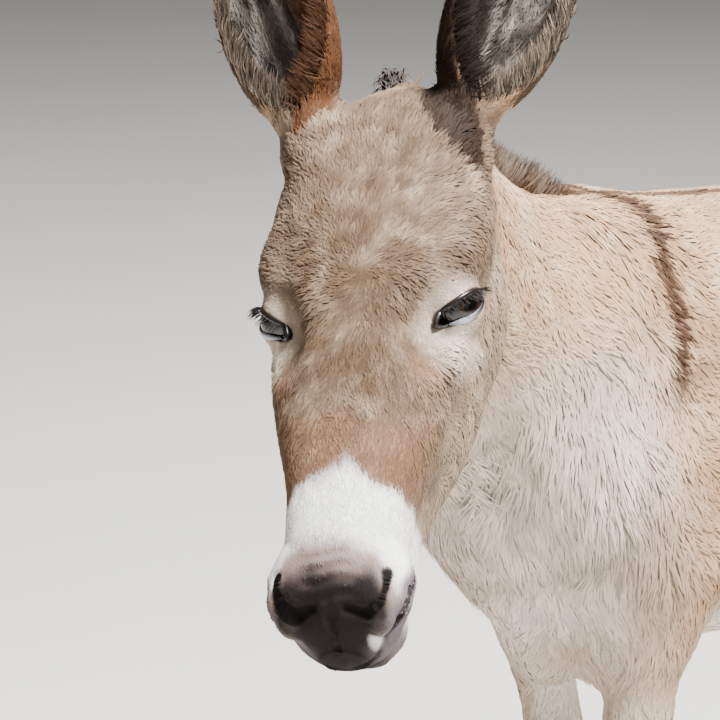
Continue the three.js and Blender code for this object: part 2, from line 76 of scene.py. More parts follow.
def mass(centre, half, pitch=0):
    c, s = math.cos(math.radians(pitch)), math.sin(math.radians(pitch))
    half = np.array(half, float)

    def field(p):
        d = p - np.array(centre, float)
        q = np.stack([d[:, 0], c * d[:, 1] + s * d[:, 2], c * d[:, 2] - s * d[:, 1]], 1) / half
        k0 = np.linalg.norm(q, axis=1)
        return k0 * (k0 - 1) / np.maximum(np.linalg.norm(q / half, axis=1), 1e-9)
    return field


def limb(start, end, r0, r1, flat=1.0, side=(1, 0, 0)):
    side = np.array(side, float)

    def squeeze(p):
        return p + np.multiply.outer(p @ side, side) * (1 / flat - 1)

    a = squeeze(np.array(start, float))
    ab = squeeze(np.array(end, float)) - a

    def field(p):
        ap = squeeze(p) - a
        t = np.clip(ap @ ab / (ab @ ab), 0, 1)
        away = np.linalg.norm(ap - t[:, None] * ab, axis=1)
        return (away - (r0 + (r1 - r0) * t)) * (flat + 1) * 0.5
    return field


def along(stations, s):  # values between stations, by a smooth curve through them
    table = np.asarray(stations, float)
    t = np.clip(s, table[0, 0], table[-1, 0])
    i = np.searchsorted(table[1:-1, 0], t)
    a, b = table[i], table[i + 1]
    before, after = table[np.maximum(i - 1, 0)], table[np.minimum(i + 2, len(table) - 1)]
    span = b[..., :1] - a[..., :1]
    u = (t[..., None] - a[..., :1]) / span
    m0 = (b - before) / (b[..., :1] - before[..., :1]) * span
    m1 = (after - a) / (after[..., :1] - a[..., :1]) * span
    rise = 3 * u ** 2 - 2 * u ** 3
    return (1 - rise) * a + (u ** 3 - 2 * u ** 2 + u) * m0 + rise * b + (u ** 3 - u ** 2) * m1


def loft(stations, power):  # stations of [y, top, widest level, bottom, half-width]
    first, last = stations[0][0], stations[-1][0]

    def field(p):
        x, y, z = p.T
        _, top, level, bottom, half = along(stations, y).T
        h = np.where(z > level, top - level, level - bottom)
        a, b = np.abs(x) / half, np.abs(z - level) / h
        q = np.maximum((a ** power + b ** power) ** (1 / power), 1e-6)
        slope = np.hypot(a ** (power - 1) / half, b ** (power - 1) / h) * q ** (1 - power)
        inner = (q - 1) / np.maximum(slope, 1e-6)
        return np.maximum(np.maximum(inner, first - y), y - last)
    return field


def united(forms, k):
    def field(p):
        d = forms[0](p)
        for form in forms[1:]:
            d = blend(d, form(p), k)
        return d
    return field


# Trunk
barrelLoft = loft([
    [-215, 900, 812, 735, 58],
    [-170, 985, 812, 676, 96],
    [-95, 1034, 810, 612, 122],
    [0, 1060, 792, 566, 150],
    [140, 1050, 782, 546, 186],
    [290, 1040, 772, 540, 207],
    [430, 1046, 786, 562, 200],
    [550, 1058, 830, 640, 176],
    [650, 1036, 860, 700, 150],
    [730, 975, 870, 760, 100],
    [762, 930, 870, 810, 55],
], 2.3)
breast = [
    mass([50, -100, 740], [50, 64, 64], -12),
    mass([-50, -100, 740], [50, 64, 64], -12),
    mass([0, -86, 688], [58, 76, 74]),
    mass([0, -30, 596], [54, 80, 72]),  # brisket
]


def shoulder(side):
    return united([
        limb([64 * side, 10, 975], [106 * side, -72, 800], 74, 84, 0.62),  # blade
        limb([106 * side, -82, 768], [104 * side, -15, 668], 74, 64, 0.8),  # upper arm
        mass([103 * side, 0, 745], [50, 92, 104], 20),  # triceps
    ], 40)


def rump(side):
    return united([
        mass([92 * side, 565, 955], [82, 120, 92], -8),  # croup
        mass([102 * side, 640, 840], [74, 128, 165], 8),  # thigh
        mass([92 * side, 715, 855], [60, 62, 110], -10),  # buttock
        limb([118 * side, 560, 800], [122 * side, 505, 665], 100, 66, 0.75),  # towards the stifle
    ], 40)


trunkForms = united([barrelLoft] + breast + [shoulder(1), shoulder(-1), rump(1), rump(-1)], 55)

# Legs: chains of [forward or back, height, half-width, half-depth] under a hoof centre
legs = {
    "foreChain": [
        [44, 690, 56, 84], [36, 610, 47, 61], [30, 530, 39, 46], [25, 440, 33, 38], [20, 372, 34, 37],
        [20, 335, 32, 35], [26, 292, 25, 29], [28, 225, 22, 26], [26, 160, 23, 28], [22, 122, 28, 33],
        [8, 92, 25, 28], [-6, 56, 32, 38],
    ],
    "hindChain": [
        [-108, 680, 64, 96], [-70, 600, 54, 78], [-16, 530, 42, 62], [36, 478, 34, 54], [62, 432, 33, 49],
        [60, 385, 31, 41], [50, 330, 26, 32], [42, 240, 24, 30], [34, 165, 26, 31], [29, 124, 32, 36],
        [14, 92, 27, 30], [0, 56, 34, 40],
    ],
    "top": 820,
    "foreMean": -45,  # place along the body that each pair of legs hangs from
    "hindMean": 665,
    "soles": {  # centre of each sole
        "fore_left": (104, -72),
        "fore_right": (-84, 140),
        "hind_left": (104, 628),
        "hind_right": (-104, 700),
    },
}


def legJoints(name):
    sole, pair = legs["soles"][name], name.split("_")[0]
    joints = []
    for y, z, half, depth in legs[pair + "Chain"]:
        swing = max(0, 1 - max(0, z - 60) / 640)
        mean = legs[pair + "Mean"]
        splay = math.copysign(1, sole[0]) * (z / 700) * 6
        joints.append(([sole[0] + splay, mean + (sole[1] - mean) * swing + y, z], half, depth))
    return joints


def legForm(name):
    joints = legJoints(name)
    return united([
        limb(a, b, depthA, depthB, (halfA + halfB) / (depthA + depthB))
        for (a, halfA, depthA), (b, halfB, depthB) in zip(joints, joints[1:])
    ], 12)


legForms = [legForm(name) for name in legs["soles"]]

# Head, in its own frame: X left, Y from poll to lips, Z out of the forehead
head = {"length": 482, "heading": 30, "pitch": 45.5, "lean": 8.8, "poll": [164, -445, 1212]}


def headAxes():
    heading, pitch, lean = (math.radians(head[k]) for k in ("heading", "pitch", "lean"))
    ahead = np.array([math.sin(heading), -math.cos(heading), 0])

    def tipped(v):
        v = np.array(v, float)
        c, s = math.cos(lean), math.sin(lean)
        return v * c + np.cross(ahead, v) * s + ahead * (ahead @ v) * (1 - c)
    left = tipped([math.cos(heading), math.sin(heading), 0])
    forward = tipped(ahead * math.cos(pitch) - np.array([0, 0, math.sin(pitch)]))
    return np.stack([left, forward, np.cross(forward, left)])


headFrame = headAxes()


def toHead(plan):
    return (plan - np.array(head["poll"], float)) @ headFrame.T


def fromHead(points):
    return np.array(head["poll"], float) + np.asarray(points, float) @ headFrame


def part(share):
    return share * head["length"]


skullLoft = loft([
    [part(-0.1), -48, -80, -112, 46],
    [part(-0.02), -8, -64, -125, 76],
    [part(0.08), 8, -52, -130, 95],
    [part(0.21), 13, -52, -135, 104],
    [part(0.34), 10, -60, -135, 97],
    [part(0.47), 2, -66, -132, 91],
    [part(0.6), -8, -64, -126, 77],
    [part(0.73), -15, -62, -118, 57],
    [part(0.84), -21, -64, -114, 51],
    [part(0.92), -32, -72, -112, 47],
    [part(0.975), -54, -82, -108, 36],
    [part(1), -74, -90, -102, 17],
], 2.3)
jawLoft = loft([
    [part(0), -70, -120, -174, 50],
    [part(0.09), -60, -134, -212, 66],
    [part(0.21), -60, -138, -236, 71],
    [part(0.34), -60, -138, -250, 74],
    [part(0.46), -65, -130, -234, 71],
    [part(0.6), -75, -122, -194, 63],
    [part(0.73), -85, -118, -158, 46],
    [part(0.84), -92, -118, -142, 39],
    [part(0.925), -96, -121, -144, 36],
    [part(0.965), -104, -124, -136, 22],
], 2.2)


def headSide(side):
    return [
        mass([50 * side, part(0.23), -142], [34, 84, 88]),  # cheek
        mass([78 * side, part(0.285), -34], [27, 40, 26]),  # brow
        mass([48 * side, part(0.06), -20], [40, 52, 30]),  # temple
        limb([80 * side, part(0.44), -84], [60 * side, part(0.62), -88], 17, 12),  # facial crest
        mass([36 * side, part(0.9), -66], [23, 34, 31]),  # nostril
    ]


headMasses = united([skullLoft, jawLoft] + headSide(1) + headSide(-1) + [
    mass([0, part(0.955), -92], [40, 26, 24]),  # upper lip
    mass([0, part(0.915), -126], [31, 30, 17]),  # chin
], 16)
tearHollows = [mass([76 * side, part(0.46), -8], [26, 36, 26]) for side in sides.values()]


def headForms(q):
    d = headMasses(q)
    for hollow in tearHollows:  # in front of the eyes' inner corners
        d = carve(d, hollow(q), 18)
    return d


# Ears: a leaf rolled into a deep cup
ears = {
    "length": 215,
    "rise": 34,  # from the root to the foot of the cup
    "bend": 14,  # the tip curves towards the opening
    # the inner colour goes on each ear's hollow side, root and inner fringe: rust on the right ear, and on the
    # left a near black that is dark brown hair with painted shade over it
    "left": {"root": [59, 14, -44], "axis": [0.42, -0.83, 0.38], "facing": [0.66, 0.5, 0.7],
             "inner": "earDark"},
    "right": {"root": [-67, 12, -44], "axis": [-0.2, -0.82, 0.54], "facing": [-0.1, 0.55, 0.92],
              "inner": "earRust"},
    "profile": [  # share of the length, half-width, depth, half-angle of the roll, wall
        [0, 31, 30, 150, 24],
        [0.08, 42, 31, 135, 17],
        [0.2, 52, 33, 120, 12],
        [0.38, 58, 31, 108, 10],
        [0.58, 54, 26, 100, 9],
        [0.76, 42, 19, 95, 9],
        [0.9, 25, 12, 92, 8],
        [0.97, 13, 8, 90, 6],
        [1, 5, 4, 90, 3],
    ],
}


def earAxes(name):
    ear = ears[name]
    axis = unit(ear["axis"])
    facing = np.array(ear["facing"], float)
    facing = unit(facing - axis * (facing @ axis))
    base = np.array(ear["root"], float) + axis * ears["rise"]
    return base, axis, facing, np.cross(axis, facing)


def earPlace(name, q):  # share along the ear, across and out of it, in millimetres
    base, axis, facing, across = earAxes(name)
    d = q - base
    rise = d @ axis / ears["length"]
    share = np.clip(rise, 0, 1)
    return rise, share, d @ across, d @ facing - ears["bend"] * share ** 2


def earField(name, thin):  # thin is how far the skin lies inside the coat's tips, on each face
    def field(q):
        rise, share, x, y = earPlace(name, q)
        _, half, depth, angle, wall = along(ears["profile"], share).T
        half, depth = half - wall * 0.5, depth - wall * 0.5
        lean = np.arctan2(x / half, 0.25 - y / depth)
        limit = np.radians(angle) * 0.97
        lean = np.clip(lean, -limit, limit)
        away = np.hypot(x - half * np.sin(lean), y - depth * (0.25 - np.cos(lean)))
        beyond = (rise - share) * ears["length"]
        body = np.maximum(wall * 0.5 - thin, 1.3)
        return np.hypot(away, beyond) - body
    return field


def earStub(name):
    base, axis, _, _ = earAxes(name)
    return limb(ears[name]["root"], base + axis * 12, 40, 32)


# Neck
neck = {"base": [0, -70, 872], "reach": [30, -250, 985], "end": fromHead([0, part(0.02), -88])}
neckSections = [  # share of the way, half-depth, half-width
    [0, 172, 116], [0.2, 158, 102], [0.42, 138, 88], [0.65, 120, 78], [0.85, 103, 70], [1, 84, 62],
]
neckSteps = 7


def neckPoint(t):
    base, reach, end = (np.array(neck[k], float) for k in ("base", "reach", "end"))
    return (base + (reach - base) * t) * (1 - t) + (reach + (end - reach) * t) * t


def neckLength(i):
    t0, t1 = i / neckSteps, (i + 1) / neckSteps
    _, depth0, half0 = along(neckSections, np.array(t0))
    _, depth1, half1 = along(neckSections, np.array(t1))
    a, b = neckPoint(t0), neckPoint(t1)
    side = unit(np.cross(b - a, [0, 0, 1]))
    return limb(a, b, depth0, depth1, (half0 + half1) / (depth0 + depth1), side)


neckForm = united([neckLength(i) for i in range(neckSteps)], 24)


def headWithStubs(q):
    d = headForms(q)
    for name in sides:
        d = blend(d, earStub(name)(q), 22)
    return d


def upperBody(p):  # where the head can reach
    return (p[:, 1] < -260) | (p[:, 2] > 1000)


def headDistance(p, q):  # 999 where the head can't reach
    return np.where(upperBody(p), headForms(q), 999.0)


def onEar(name, p, q):
    return (earField(name, 0)(q) < 12) & (earPlace(name, q)[0] > 0.03) & upperBody(p)


def body(p):  # the coat's outline, without the ears
    d = blend(trunkForms(p), neckForm(p), 70)
    upper = upperBody(p)
    if upper.any():
        d[upper] = blend(d[upper], headWithStubs(toHead(p[upper])), 34)
    low = p[:, 2] <= legs["top"]
    for form in legForms:
        d[low] = blend(d[low], form(p[low]), 55)
    return d


# Skin: how far it lies inside the tips of the coat
coatDepth = {
    "trunk": 11, "chest": 14, "thigh": 7, "forearm": 4, "cannon": 3.5, "face": 6, "muzzle": 3, "lips": 1.6,
}


def skinDepth(p):
    height = p[:, 2]
    leg = np.interp(height, [80, 320, 470, 620],
                    [coatDepth[place] for place in ("cannon", "forearm", "thigh", "trunk")])
    depth = np.where(height < 620, leg, coatDepth["trunk"])
    chest = smoothStep(-40, -140, p[:, 1]) * smoothStep(900, 760, height) * smoothStep(560, 640, height)
    depth = depth + chest * (coatDepth["chest"] - coatDepth["trunk"])
    near = upperBody(p)
    q = toHead(p[near])
    face = np.interp(q[:, 1], [0, part(0.62), part(0.78), part(0.92)],
                     [coatDepth["face"] + 2, coatDepth["face"], coatDepth["muzzle"], coatDepth["lips"]])
    onHead = smoothStep(30, 4, headForms(q))
    depth[near] += onHead * (face - depth[near])
    return depth


# Eyes
eyes = {
    "radius": 21.5,
    "bulge": 1.6,  # of the cornea
    "iris": [0.0125, 0.0105],  # half-width along the slit and up, in metres
    "centre": [75, part(0.376), -50],
    "gaze": [0.8, 0.3, 0.52],
    "inner": [62, 211, -32],  # corner beside the nose
    "outer": [99, 168, -49],
    "lid": 3.2,  # thickness
    "halfSlit": 27,
    "slitShift": 4.5,  # the slit's middle lies towards the nose
    "upperLid": 9.5,  # how far each lid stands open
    "lowerLid": 9,
    "around": 46,  # radius of the finer mesh
    "socket": 45,
}


def eyeAxes(side):  # centre, then the slit's axes: towards the inner corner, up, and out
    flip = np.array([side, 1, 1])
    out = unit(np.array(eyes["gaze"]) * flip)
    slit = (np.array(eyes["inner"], float) - eyes["outer"]) * flip
    slit = unit(slit - out * (slit @ out))
    up = np.cross(out, slit) * side
    up = up if up[1] < 0 else -up
    return np.array(eyes["centre"], float) * flip, slit, up, out


def fromEye(q, side):  # distance from the middle of the ball
    return np.linalg.norm(q - eyeAxes(side)[0], axis=1)


def lidCurve(turn):  # the opening between the lids: along the slit and up, in millimetres
    x = np.cos(turn) * eyes["halfSlit"] + eyes["slitShift"]
    lift = np.where(np.sin(turn) > 0, eyes["upperLid"], -eyes["lowerLid"])
    return x, lift * np.abs(np.sin(turn)) ** 1.15


def eyeOpening(q, side):  # negative inside the slit, with depth cut off behind the ball's front
    centre, slit, up, out = eyeAxes(side)
    d = q - centre
    x, y, z = d @ slit, d @ up, d @ out
    u = np.clip((x - eyes["slitShift"]) / eyes["halfSlit"], -1, 1)
    reach = np.where(y > 0, eyes["upperLid"], eyes["lowerLid"]) * (1 - u ** 2) ** 0.58
    slot = np.maximum(np.abs(y) - reach, np.abs(x - eyes["slitShift"]) - eyes["halfSlit"])
    shell = eyes["radius"] - 1.2 - np.linalg.norm(d, axis=1)  # leaves a floor just under the ball
    return np.maximum(np.maximum(slot, shell), 9 - 6 * u ** 2 - z)


def lidForm(q, side):  # the lids' bulge over the ball
    return fromEye(q, side) - eyes["radius"] - eyes["lid"]


# Nostrils and mouth, in the head's frame
nose = {
    "rim": [[40, 412, -52], [52, 424, -62], [50, 448, -62], [38, 468, -60]],
    "rimSize": [7, 7.5, 7, 6],
    "pit": [[46, 432, -42], [46, 443, -43], [42, 455, -46], [30, 463, -49], [15, 459, -44]],
    "pitSize": {1: [4.4, 2.2, 2.4, 4.4, 3.2], -1: [5, 5.2, 6, 7, 4]},  # left, right
    "mouth": [[0, 489, -99], [28, 482, -91], [41, 472, -75], [52, 459, -63], [59, 437, -61], [61, 415, -67],
              [61, 397, -74]],
    "mouthSize": [2.6, 2.8, 3, 3.2, 3, 2.6, 2],
    "philtrum": [[0, part(0.93), -27], [0, part(0.965), -50], [0, part(0.995), -72], [0, part(1.015), -92]],
}


def chain(points, sizes, side, k):
    points = np.array(points, float) * [side, 1, 1]
    return united([limb(points[i], points[i + 1], sizes[i], sizes[i + 1]) for i in range(len(points) - 1)], k)


noseForms = [(
    chain(nose["rim"], nose["rimSize"], side, 6),
    chain(nose["pit"], nose["pitSize"][side], side, 1.2),
    chain(nose["mouth"], nose["mouthSize"], side, 2),
) for side in sides.values()]
philtrum = chain(nose["philtrum"], [1.6, 3, 2.6, 1], 1, 2)


def muzzleDetail(d, q):
    for rim, pit, mouth in noseForms:
        d = blend(d, rim(q), 14)
        d = carve(d, pit(q), 5)
        d = carve(d, mouth(q), 3)
    d = carve(d, philtrum(q), 5)
    lips = smoothStep(part(0.84), part(0.9), q[:, 1])
    wrinkle = np.sin(q[:, 1] / 1.7 + 1.2 * np.sin(q[:, 0] / 9)) * smoothStep(30, 12, np.abs(q[:, 0]))
    return d + 0.6 * wrinkle * lips * smoothStep(-62, -40, q[:, 2])


def earHollow(name):
    base, axis, _, _ = earAxes(name)
    return limb(base - axis * 16, base + axis * 16, 9, 20)


earHollows = {name: earHollow(name) for name in sides}


def headDetail(d, q):
    for name in sides:
        base, axis, _, _ = earAxes(name)
        offset = q - base
        rise = offset @ axis
        away = np.linalg.norm(offset - np.multiply.outer(rise, axis), axis=1)
        d = carve(d, np.maximum(3 - rise, away - 75), 5)
        d = blend(d, earField(name, 3.0)(q), 12)
        d = carve(d, earHollows[name](q), 8)
    for side in sides.values():
        d = blend(d, lidForm(q, side), 9)
        d = carve(d, eyeOpening(q, side), 4)
    front = q[:, 1] > part(0.7)
    if front.any():
        d[front] = muzzleDetail(d[front], q[front])
    return d


dock = chain([[0, 700, 985], [0, 768, 935], [0, 800, 850], [0, 806, 740], [4, 800, 640], [6, 797, 560]],
             [33, 28, 24, 20, 17, 9], 1, 14)


def skinField(p):
    d = body(p)
    rear = p[:, 1] > 620
    d[rear] = blend(d[rear], dock(p[rear]), 16)
    d = d + skinDepth(p)
    near = upperBody(p)
    if near.any():
        d[near] = headDetail(d[near], toHead(p[near]))
    return d


def settled(field, points, steps, reach):
    e = 0.4
    for _ in range(steps):
        value = field(points)
        gradient = np.stack([field(points + offset) - value for offset in np.eye(3) * e], 1) / e
        size = np.maximum((gradient ** 2).sum(1, keepdims=True), 0.25)
        move = -value[:, None] * gradient / size
        length = np.maximum(np.linalg.norm(move, axis=1, keepdims=True), 1e-9)
        points = points + move * np.minimum(1, reach / length)
    return points


# Skin, from the nodes of flesh
skinSettings = {
    "voxel": 0.0045,
    "keep": 0.3,  # share of the faces left when the body has been thinned
    "nodes": [
        "shoulders", "barrel", "hindquarters", "neck", "head", "muzzle", "lower_lip", "ear_left", "ear_right",
        "forearm_left", "forearm_right", "gaskin_left", "gaskin_right", "cannon_fore_left",
        "cannon_fore_right", "cannon_hind_left", "cannon_hind_right", "tail_dock",
    ],
}


def newPiece(name, data):
    piece = bpy.data.objects.new(name, data)
    bpy.context.scene.collection.objects.link(piece)
    return piece


def coordsOf(piece):
    co = np.empty(len(piece.data.vertices) * 3)
    piece.data.vertices.foreach_get("co", co)
    return co.reshape(-1, 3)


def setCoords(piece, co):
    piece.data.vertices.foreach_set("co", co.astype(np.float32).ravel())
    piece.data.update()


def selectOnly(piece):
    bpy.ops.object.select_all(action="DESELECT")
    piece.select_set(True)
    bpy.context.view_layer.objects.active = piece


def applied(piece, kind, **settings):
    modifier = piece.modifiers.new(kind, kind)
    for key, value in settings.items():
        setattr(modifier, key, value)
    selectOnly(piece)
    bpy.ops.object.modifier_apply(modifier=modifier.name)


def joinedFlesh():
    copies = []
    for name in skinSettings["nodes"] + ["eye_left", "eye_right"]:  # the eyes' copies only fill the sockets
        copies.append(newPiece("flesh_" + name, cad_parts[name].data.copy()))
    selectOnly(copies[0])
    for copy in copies:
        copy.select_set(True)
    bpy.ops.object.join()
    bpy.ops.object.mode_set(mode="EDIT")
    bpy.ops.mesh.select_all(action="SELECT")
    bpy.ops.mesh.remove_doubles(threshold=1e-5)
    bpy.ops.transform.shrink_fatten(value=0.0015)  # closes the thin cuts
    bpy.ops.object.mode_set(mode="OBJECT")
    return bpy.context.view_layer.objects.active


def refine(piece, inside):  # subdivides the faces whose corners are inside a region
    keep = inside(toPlan(coordsOf(piece)))
    selectOnly(piece)
    bpy.ops.object.mode_set(mode="EDIT")
    bpy.ops.mesh.select_all(action="DESELECT")
    bpy.ops.object.mode_set(mode="OBJECT")
    corners = np.empty(len(piece.data.loops), int)
    piece.data.loops.foreach_get("vertex_index", corners)
    sizes = np.empty(len(piece.data.polygons), int)
    piece.data.polygons.foreach_get("loop_total", sizes)
    owner = np.repeat(np.arange(len(sizes)), sizes)
    chosen = np.bincount(owner, keep[corners], len(sizes)) == sizes
    piece.data.polygons.foreach_set("select", chosen)
    bpy.ops.object.mode_set(mode="EDIT")
    bpy.ops.mesh.subdivide(number_cuts=1, quadcorner="INNERVERT")
    bpy.ops.object.mode_set(mode="OBJECT")


def nearEyes(p):
    q = toHead(p)
    return np.minimum(*[fromEye(q, side) for side in sides.values()]) < eyes["around"]


def nearEyeSlits(p):
    q = toHead(p)
    return np.minimum(*[np.abs(eyeOpening(q, side)) for side in sides.values()]) < 5


def nearLips(p):
    q = toHead(p)
    return (q[:, 1] > part(0.8)) & (p[:, 1] < -400)


def settlePiece(piece, steps, reach, inside=None):
    co = toPlan(coordsOf(piece))
    chosen = np.ones(len(co), bool) if inside is None else inside(co)
    co[chosen] = settled(skinField, co[chosen], steps, reach)
    setCoords(piece, fromPlan(co))


def onFinePart(p):
    return nearEyes(p) | nearLips(p)


def onFolds(p):  # edges of the lids, nostrils and mouth
    q = toHead(p)
    grooves = np.min([np.minimum(np.abs(forms[1](q)), np.abs(forms[2](q))) for forms in noseForms], axis=0)
    return nearEyeSlits(p) | (grooves < 4)


def smoothedFolds(piece):
    group = piece.vertex_groups.new(name="folds")
    group.add(np.nonzero(onFolds(toPlan(coordsOf(piece))))[0].tolist(), 1.0, "REPLACE")
    applied(piece, "SMOOTH", factor=0.5, iterations=3, vertex_group="folds")
    piece.vertex_groups.clear()


def makeSkin():
    skin = joinedFlesh()
    skin.name = skin.data.name = "donkey_skin"
    skin.data.materials.clear()
    applied(skin, "REMESH", mode="VOXEL", voxel_size=skinSettings["voxel"])
    p = toPlan(coordsOf(skin))
    group = skin.vertex_groups.new(name="thin")
    far = np.nonzero(~upperBody(p) | (headWithStubs(toHead(p)) > 60) & (p[:, 2] < 1250))[0]
    group.add(far.tolist(), 1.0, "REPLACE")
    applied(skin, "DECIMATE", ratio=skinSettings["keep"], vertex_group="thin", use_collapse_triangulate=True)
    skin.vertex_groups.clear()
    applied(skin, "SMOOTH", factor=0.5, iterations=4)
    settlePiece(skin, 3, 8)
    applied(skin, "SMOOTH", factor=0.4, iterations=2)
    for region in (onFinePart, onFolds):
        refine(skin, region)
        settlePiece(skin, 2, 3, onFinePart)
    settlePiece(skin, 1, 3)
    smoothedFolds(skin)
    selectOnly(skin)
    bpy.ops.object.shade_smooth()
    print("skin:", len(skin.data.polygons), "faces")
    return skin


# Colours, worked out once for skin and coat alike
def linear(code):
    value = np.array([int(code[i:i + 2], 16) for i in (1, 3, 5)]) / 255
    return np.where(value <= 0.04045, value / 12.92, ((value + 0.055) / 1.055) ** 2.4)


# the bluish white kept for the lower lid's rim is a painted highlight, not a colour of the skin
fur = {
    "coat": "#B79272", "taupe": "#80664F", "pale": "#D6BA9C", "belly": "#D9CDBE", "rust": "#785640",
    "cream": "#DCC8B2", "white": "#F6F3EE", "grey": "#8B7870", "charcoal": "#241F1F", "stripe": "#3E2C20",
    "earInside": "#6E675E", "earPale": "#A39A8E", "earDark": "#1C110B", "earRust": "#56351F", "mane": "#4A4340",
    "tail": "#4E433B", "leg": "#BBA792", "lipGrey": "#6E6468", "lidHighlight": "#C9C9D6", "face": "#9A806B",
}
shades = {name: linear(code) for name, code in fur.items()}


def makeNoise(seed):
    size = 32  # cells until it repeats
    lattice = np.random.default_rng(seed).random((size, size, size))

    def value(p):  # smooth, from 0 to 1, one cell per unit
        cell = np.floor(p).astype(int)
        f = p - cell
        f = f * f * (3 - 2 * f)
        total = np.zeros(len(p))
        for corner in itertools.product((0, 1), repeat=3):
            weight = np.prod(np.where(corner, f, 1 - f), axis=1)
            total += weight * lattice[tuple(((cell + corner) % size).T)]
        return total
    return value


noises = [makeNoise(seed) for seed in (3, 7, 11, 19)]


def spot(q, centre, half):
    return np.clip(1.6 * (1 - np.linalg.norm((q - centre) / half, axis=1)), 0, 1)


def mixed(base, name, weight):
    return base + (shades[name] - base) * np.clip(weight, 0, 1)[:, None]


def bodyColour(p, normals):
    wide = noises[0](p / 70)
    fine = noises[1](p / 17)
    c = np.tile(shades["coat"], (len(p), 1))
    c = mixed(c, "taupe", 0.35 * smoothStep(0.5, 0.9, wide) + 0.3 * smoothStep(0.35, 0.1, fine))
    c = mixed(c, "pale", 0.35 * smoothStep(0.5, 0.1, wide) + 0.45 * smoothStep(0.6, 0.9, fine))
    under = smoothStep(-0.15, -0.75, normals[:, 2]) * smoothStep(900, 720, p[:, 2])
    chest = smoothStep(20, -110, p[:, 1]) * smoothStep(1000, 860, p[:, 2])
    c = mixed(c, "belly", 0.9 * np.maximum(under, 0.8 * chest))
    dapple = smoothStep(0.5, 0.75, noises[0](p / 48 + 3.7))
    c = mixed(c, "taupe", 0.4 * dapple * smoothStep(60, -60, p[:, 1]) * smoothStep(930, 860, p[:, 2]))
    c = mixed(c, "leg", smoothStep(640, 480, p[:, 2]))
    inner = smoothStep(0.2, 0.8, -np.sign(p[:, 0]) * normals[:, 0]) * smoothStep(820, 620, p[:, 2])
    c = mixed(c, "belly", 0.8 * inner)
    c = mixed(c, "taupe", 0.5 * smoothStep(330, 280, p[:, 2]) * smoothStep(230, 280, p[:, 2]))
    c = mixed(c, "taupe", 0.5 * smoothStep(120, 75, p[:, 2]))
    wobble = 3 * (noises[2](p / 35) - 0.5)
    top = smoothStep(0.2, 0.6, normals[:, 2]) * smoothStep(-130, -30, p[:, 1])
    c = mixed(c, "stripe", 0.85 * top * smoothStep(17, 8, np.abs(p[:, 0]) + wobble))
    line = np.interp(p[:, 2], [860, 901, 939, 1007, 1056, 1090], [-17, -15, -11, -10, -4, -8])
    cross = smoothStep(15, 7, np.abs(p[:, 1] - line + wobble))
    cross = cross * smoothStep(862, 905, p[:, 2]) * smoothStep(0.1, 0.4, np.abs(normals[:, 0]) + normals[:, 2])
    return mixed(c, "stripe", 0.95 * cross)


faceMarks = [  # colour, weight, middle and half-sizes, on both sides of the head
    ("cream", 0.75, [84, 205, -42], [42, 52, 46]),  # round the eye
    ("rust", 0.5, [66, 248, -24], [22, 38, 26]),  # below its inner corner
    ("rust", 0.45, [60, 345, -62], [24, 44, 40]),  # beside the bridge of the nose
]


def headColour(p, q):
    fine = noises[1](p / 13)
    wobble = 22 * (noises[2](p / 24) - 0.5) + 10 * (noises[3](p / 8) - 0.5)
    c = np.tile(shades["face"], (len(p), 1))
    c = mixed(c, "taupe", 0.55 * spot(q, [8, 200, 10], [60, 160, 60]) + 0.7 * smoothStep(0.5, 0.75, fine))
    c = mixed(c, "pale", 0.75 * smoothStep(-50, -100, q[:, 2]) + 0.4 * smoothStep(0.45, 0.2, fine))
    c = c * 0.5
    side = np.abs(q[:, 0])
    for name, weight, middle, half in faceMarks:
        c = mixed(c, name, weight * spot(np.column_stack([side, q[:, 1:]]), middle, half))
    rise = q[:, 1] + wobble
    band = smoothStep(285, 312, rise) * smoothStep(-75, -30, q[:, 2]) * (0.55 + 0.5 * noises[3](p / 11))
    c = mixed(c, "rust", 0.8 * band)
    start = 338 + 0.6 * np.abs(q[:, 0] - 8)
    c = mixed(c, "white", smoothStep(-8, 12, rise - start))
    lip = q[:, 1] + 0.5 * wobble + 0.3 * (q[:, 2] + 45) - 24 * smoothStep(34, 56, side)
    c = mixed(c, "grey", smoothStep(404, 426, lip))
    c = mixed(c, "charcoal", smoothStep(424, 448, lip))
    mouth = np.min([forms[2](q) for forms in noseForms], axis=0)
    underLip = smoothStep(-68, -82, q[:, 2]) * smoothStep(415, 450, q[:, 1])
    beside = np.maximum(smoothStep(12, 5, mouth), underLip) * smoothStep(14, 40, side)
    c = mixed(c, "lipGrey", beside * smoothStep(395, 425, q[:, 1]))
    return mixed(c, "white", 0.7 * spot(q, [31, 473, -75], [7, 15, 13]))  # on the left lip


def alongEar(share, x, y):  # half-width, and whether a point is on the hollow face
    _, half, depth, _, wall = along(ears["profile"], share).T
    half, depth = half - wall * 0.5, depth - wall * 0.5
    return half, smoothStep(1.03, 0.97, np.hypot(x / half, 0.25 - y / depth))


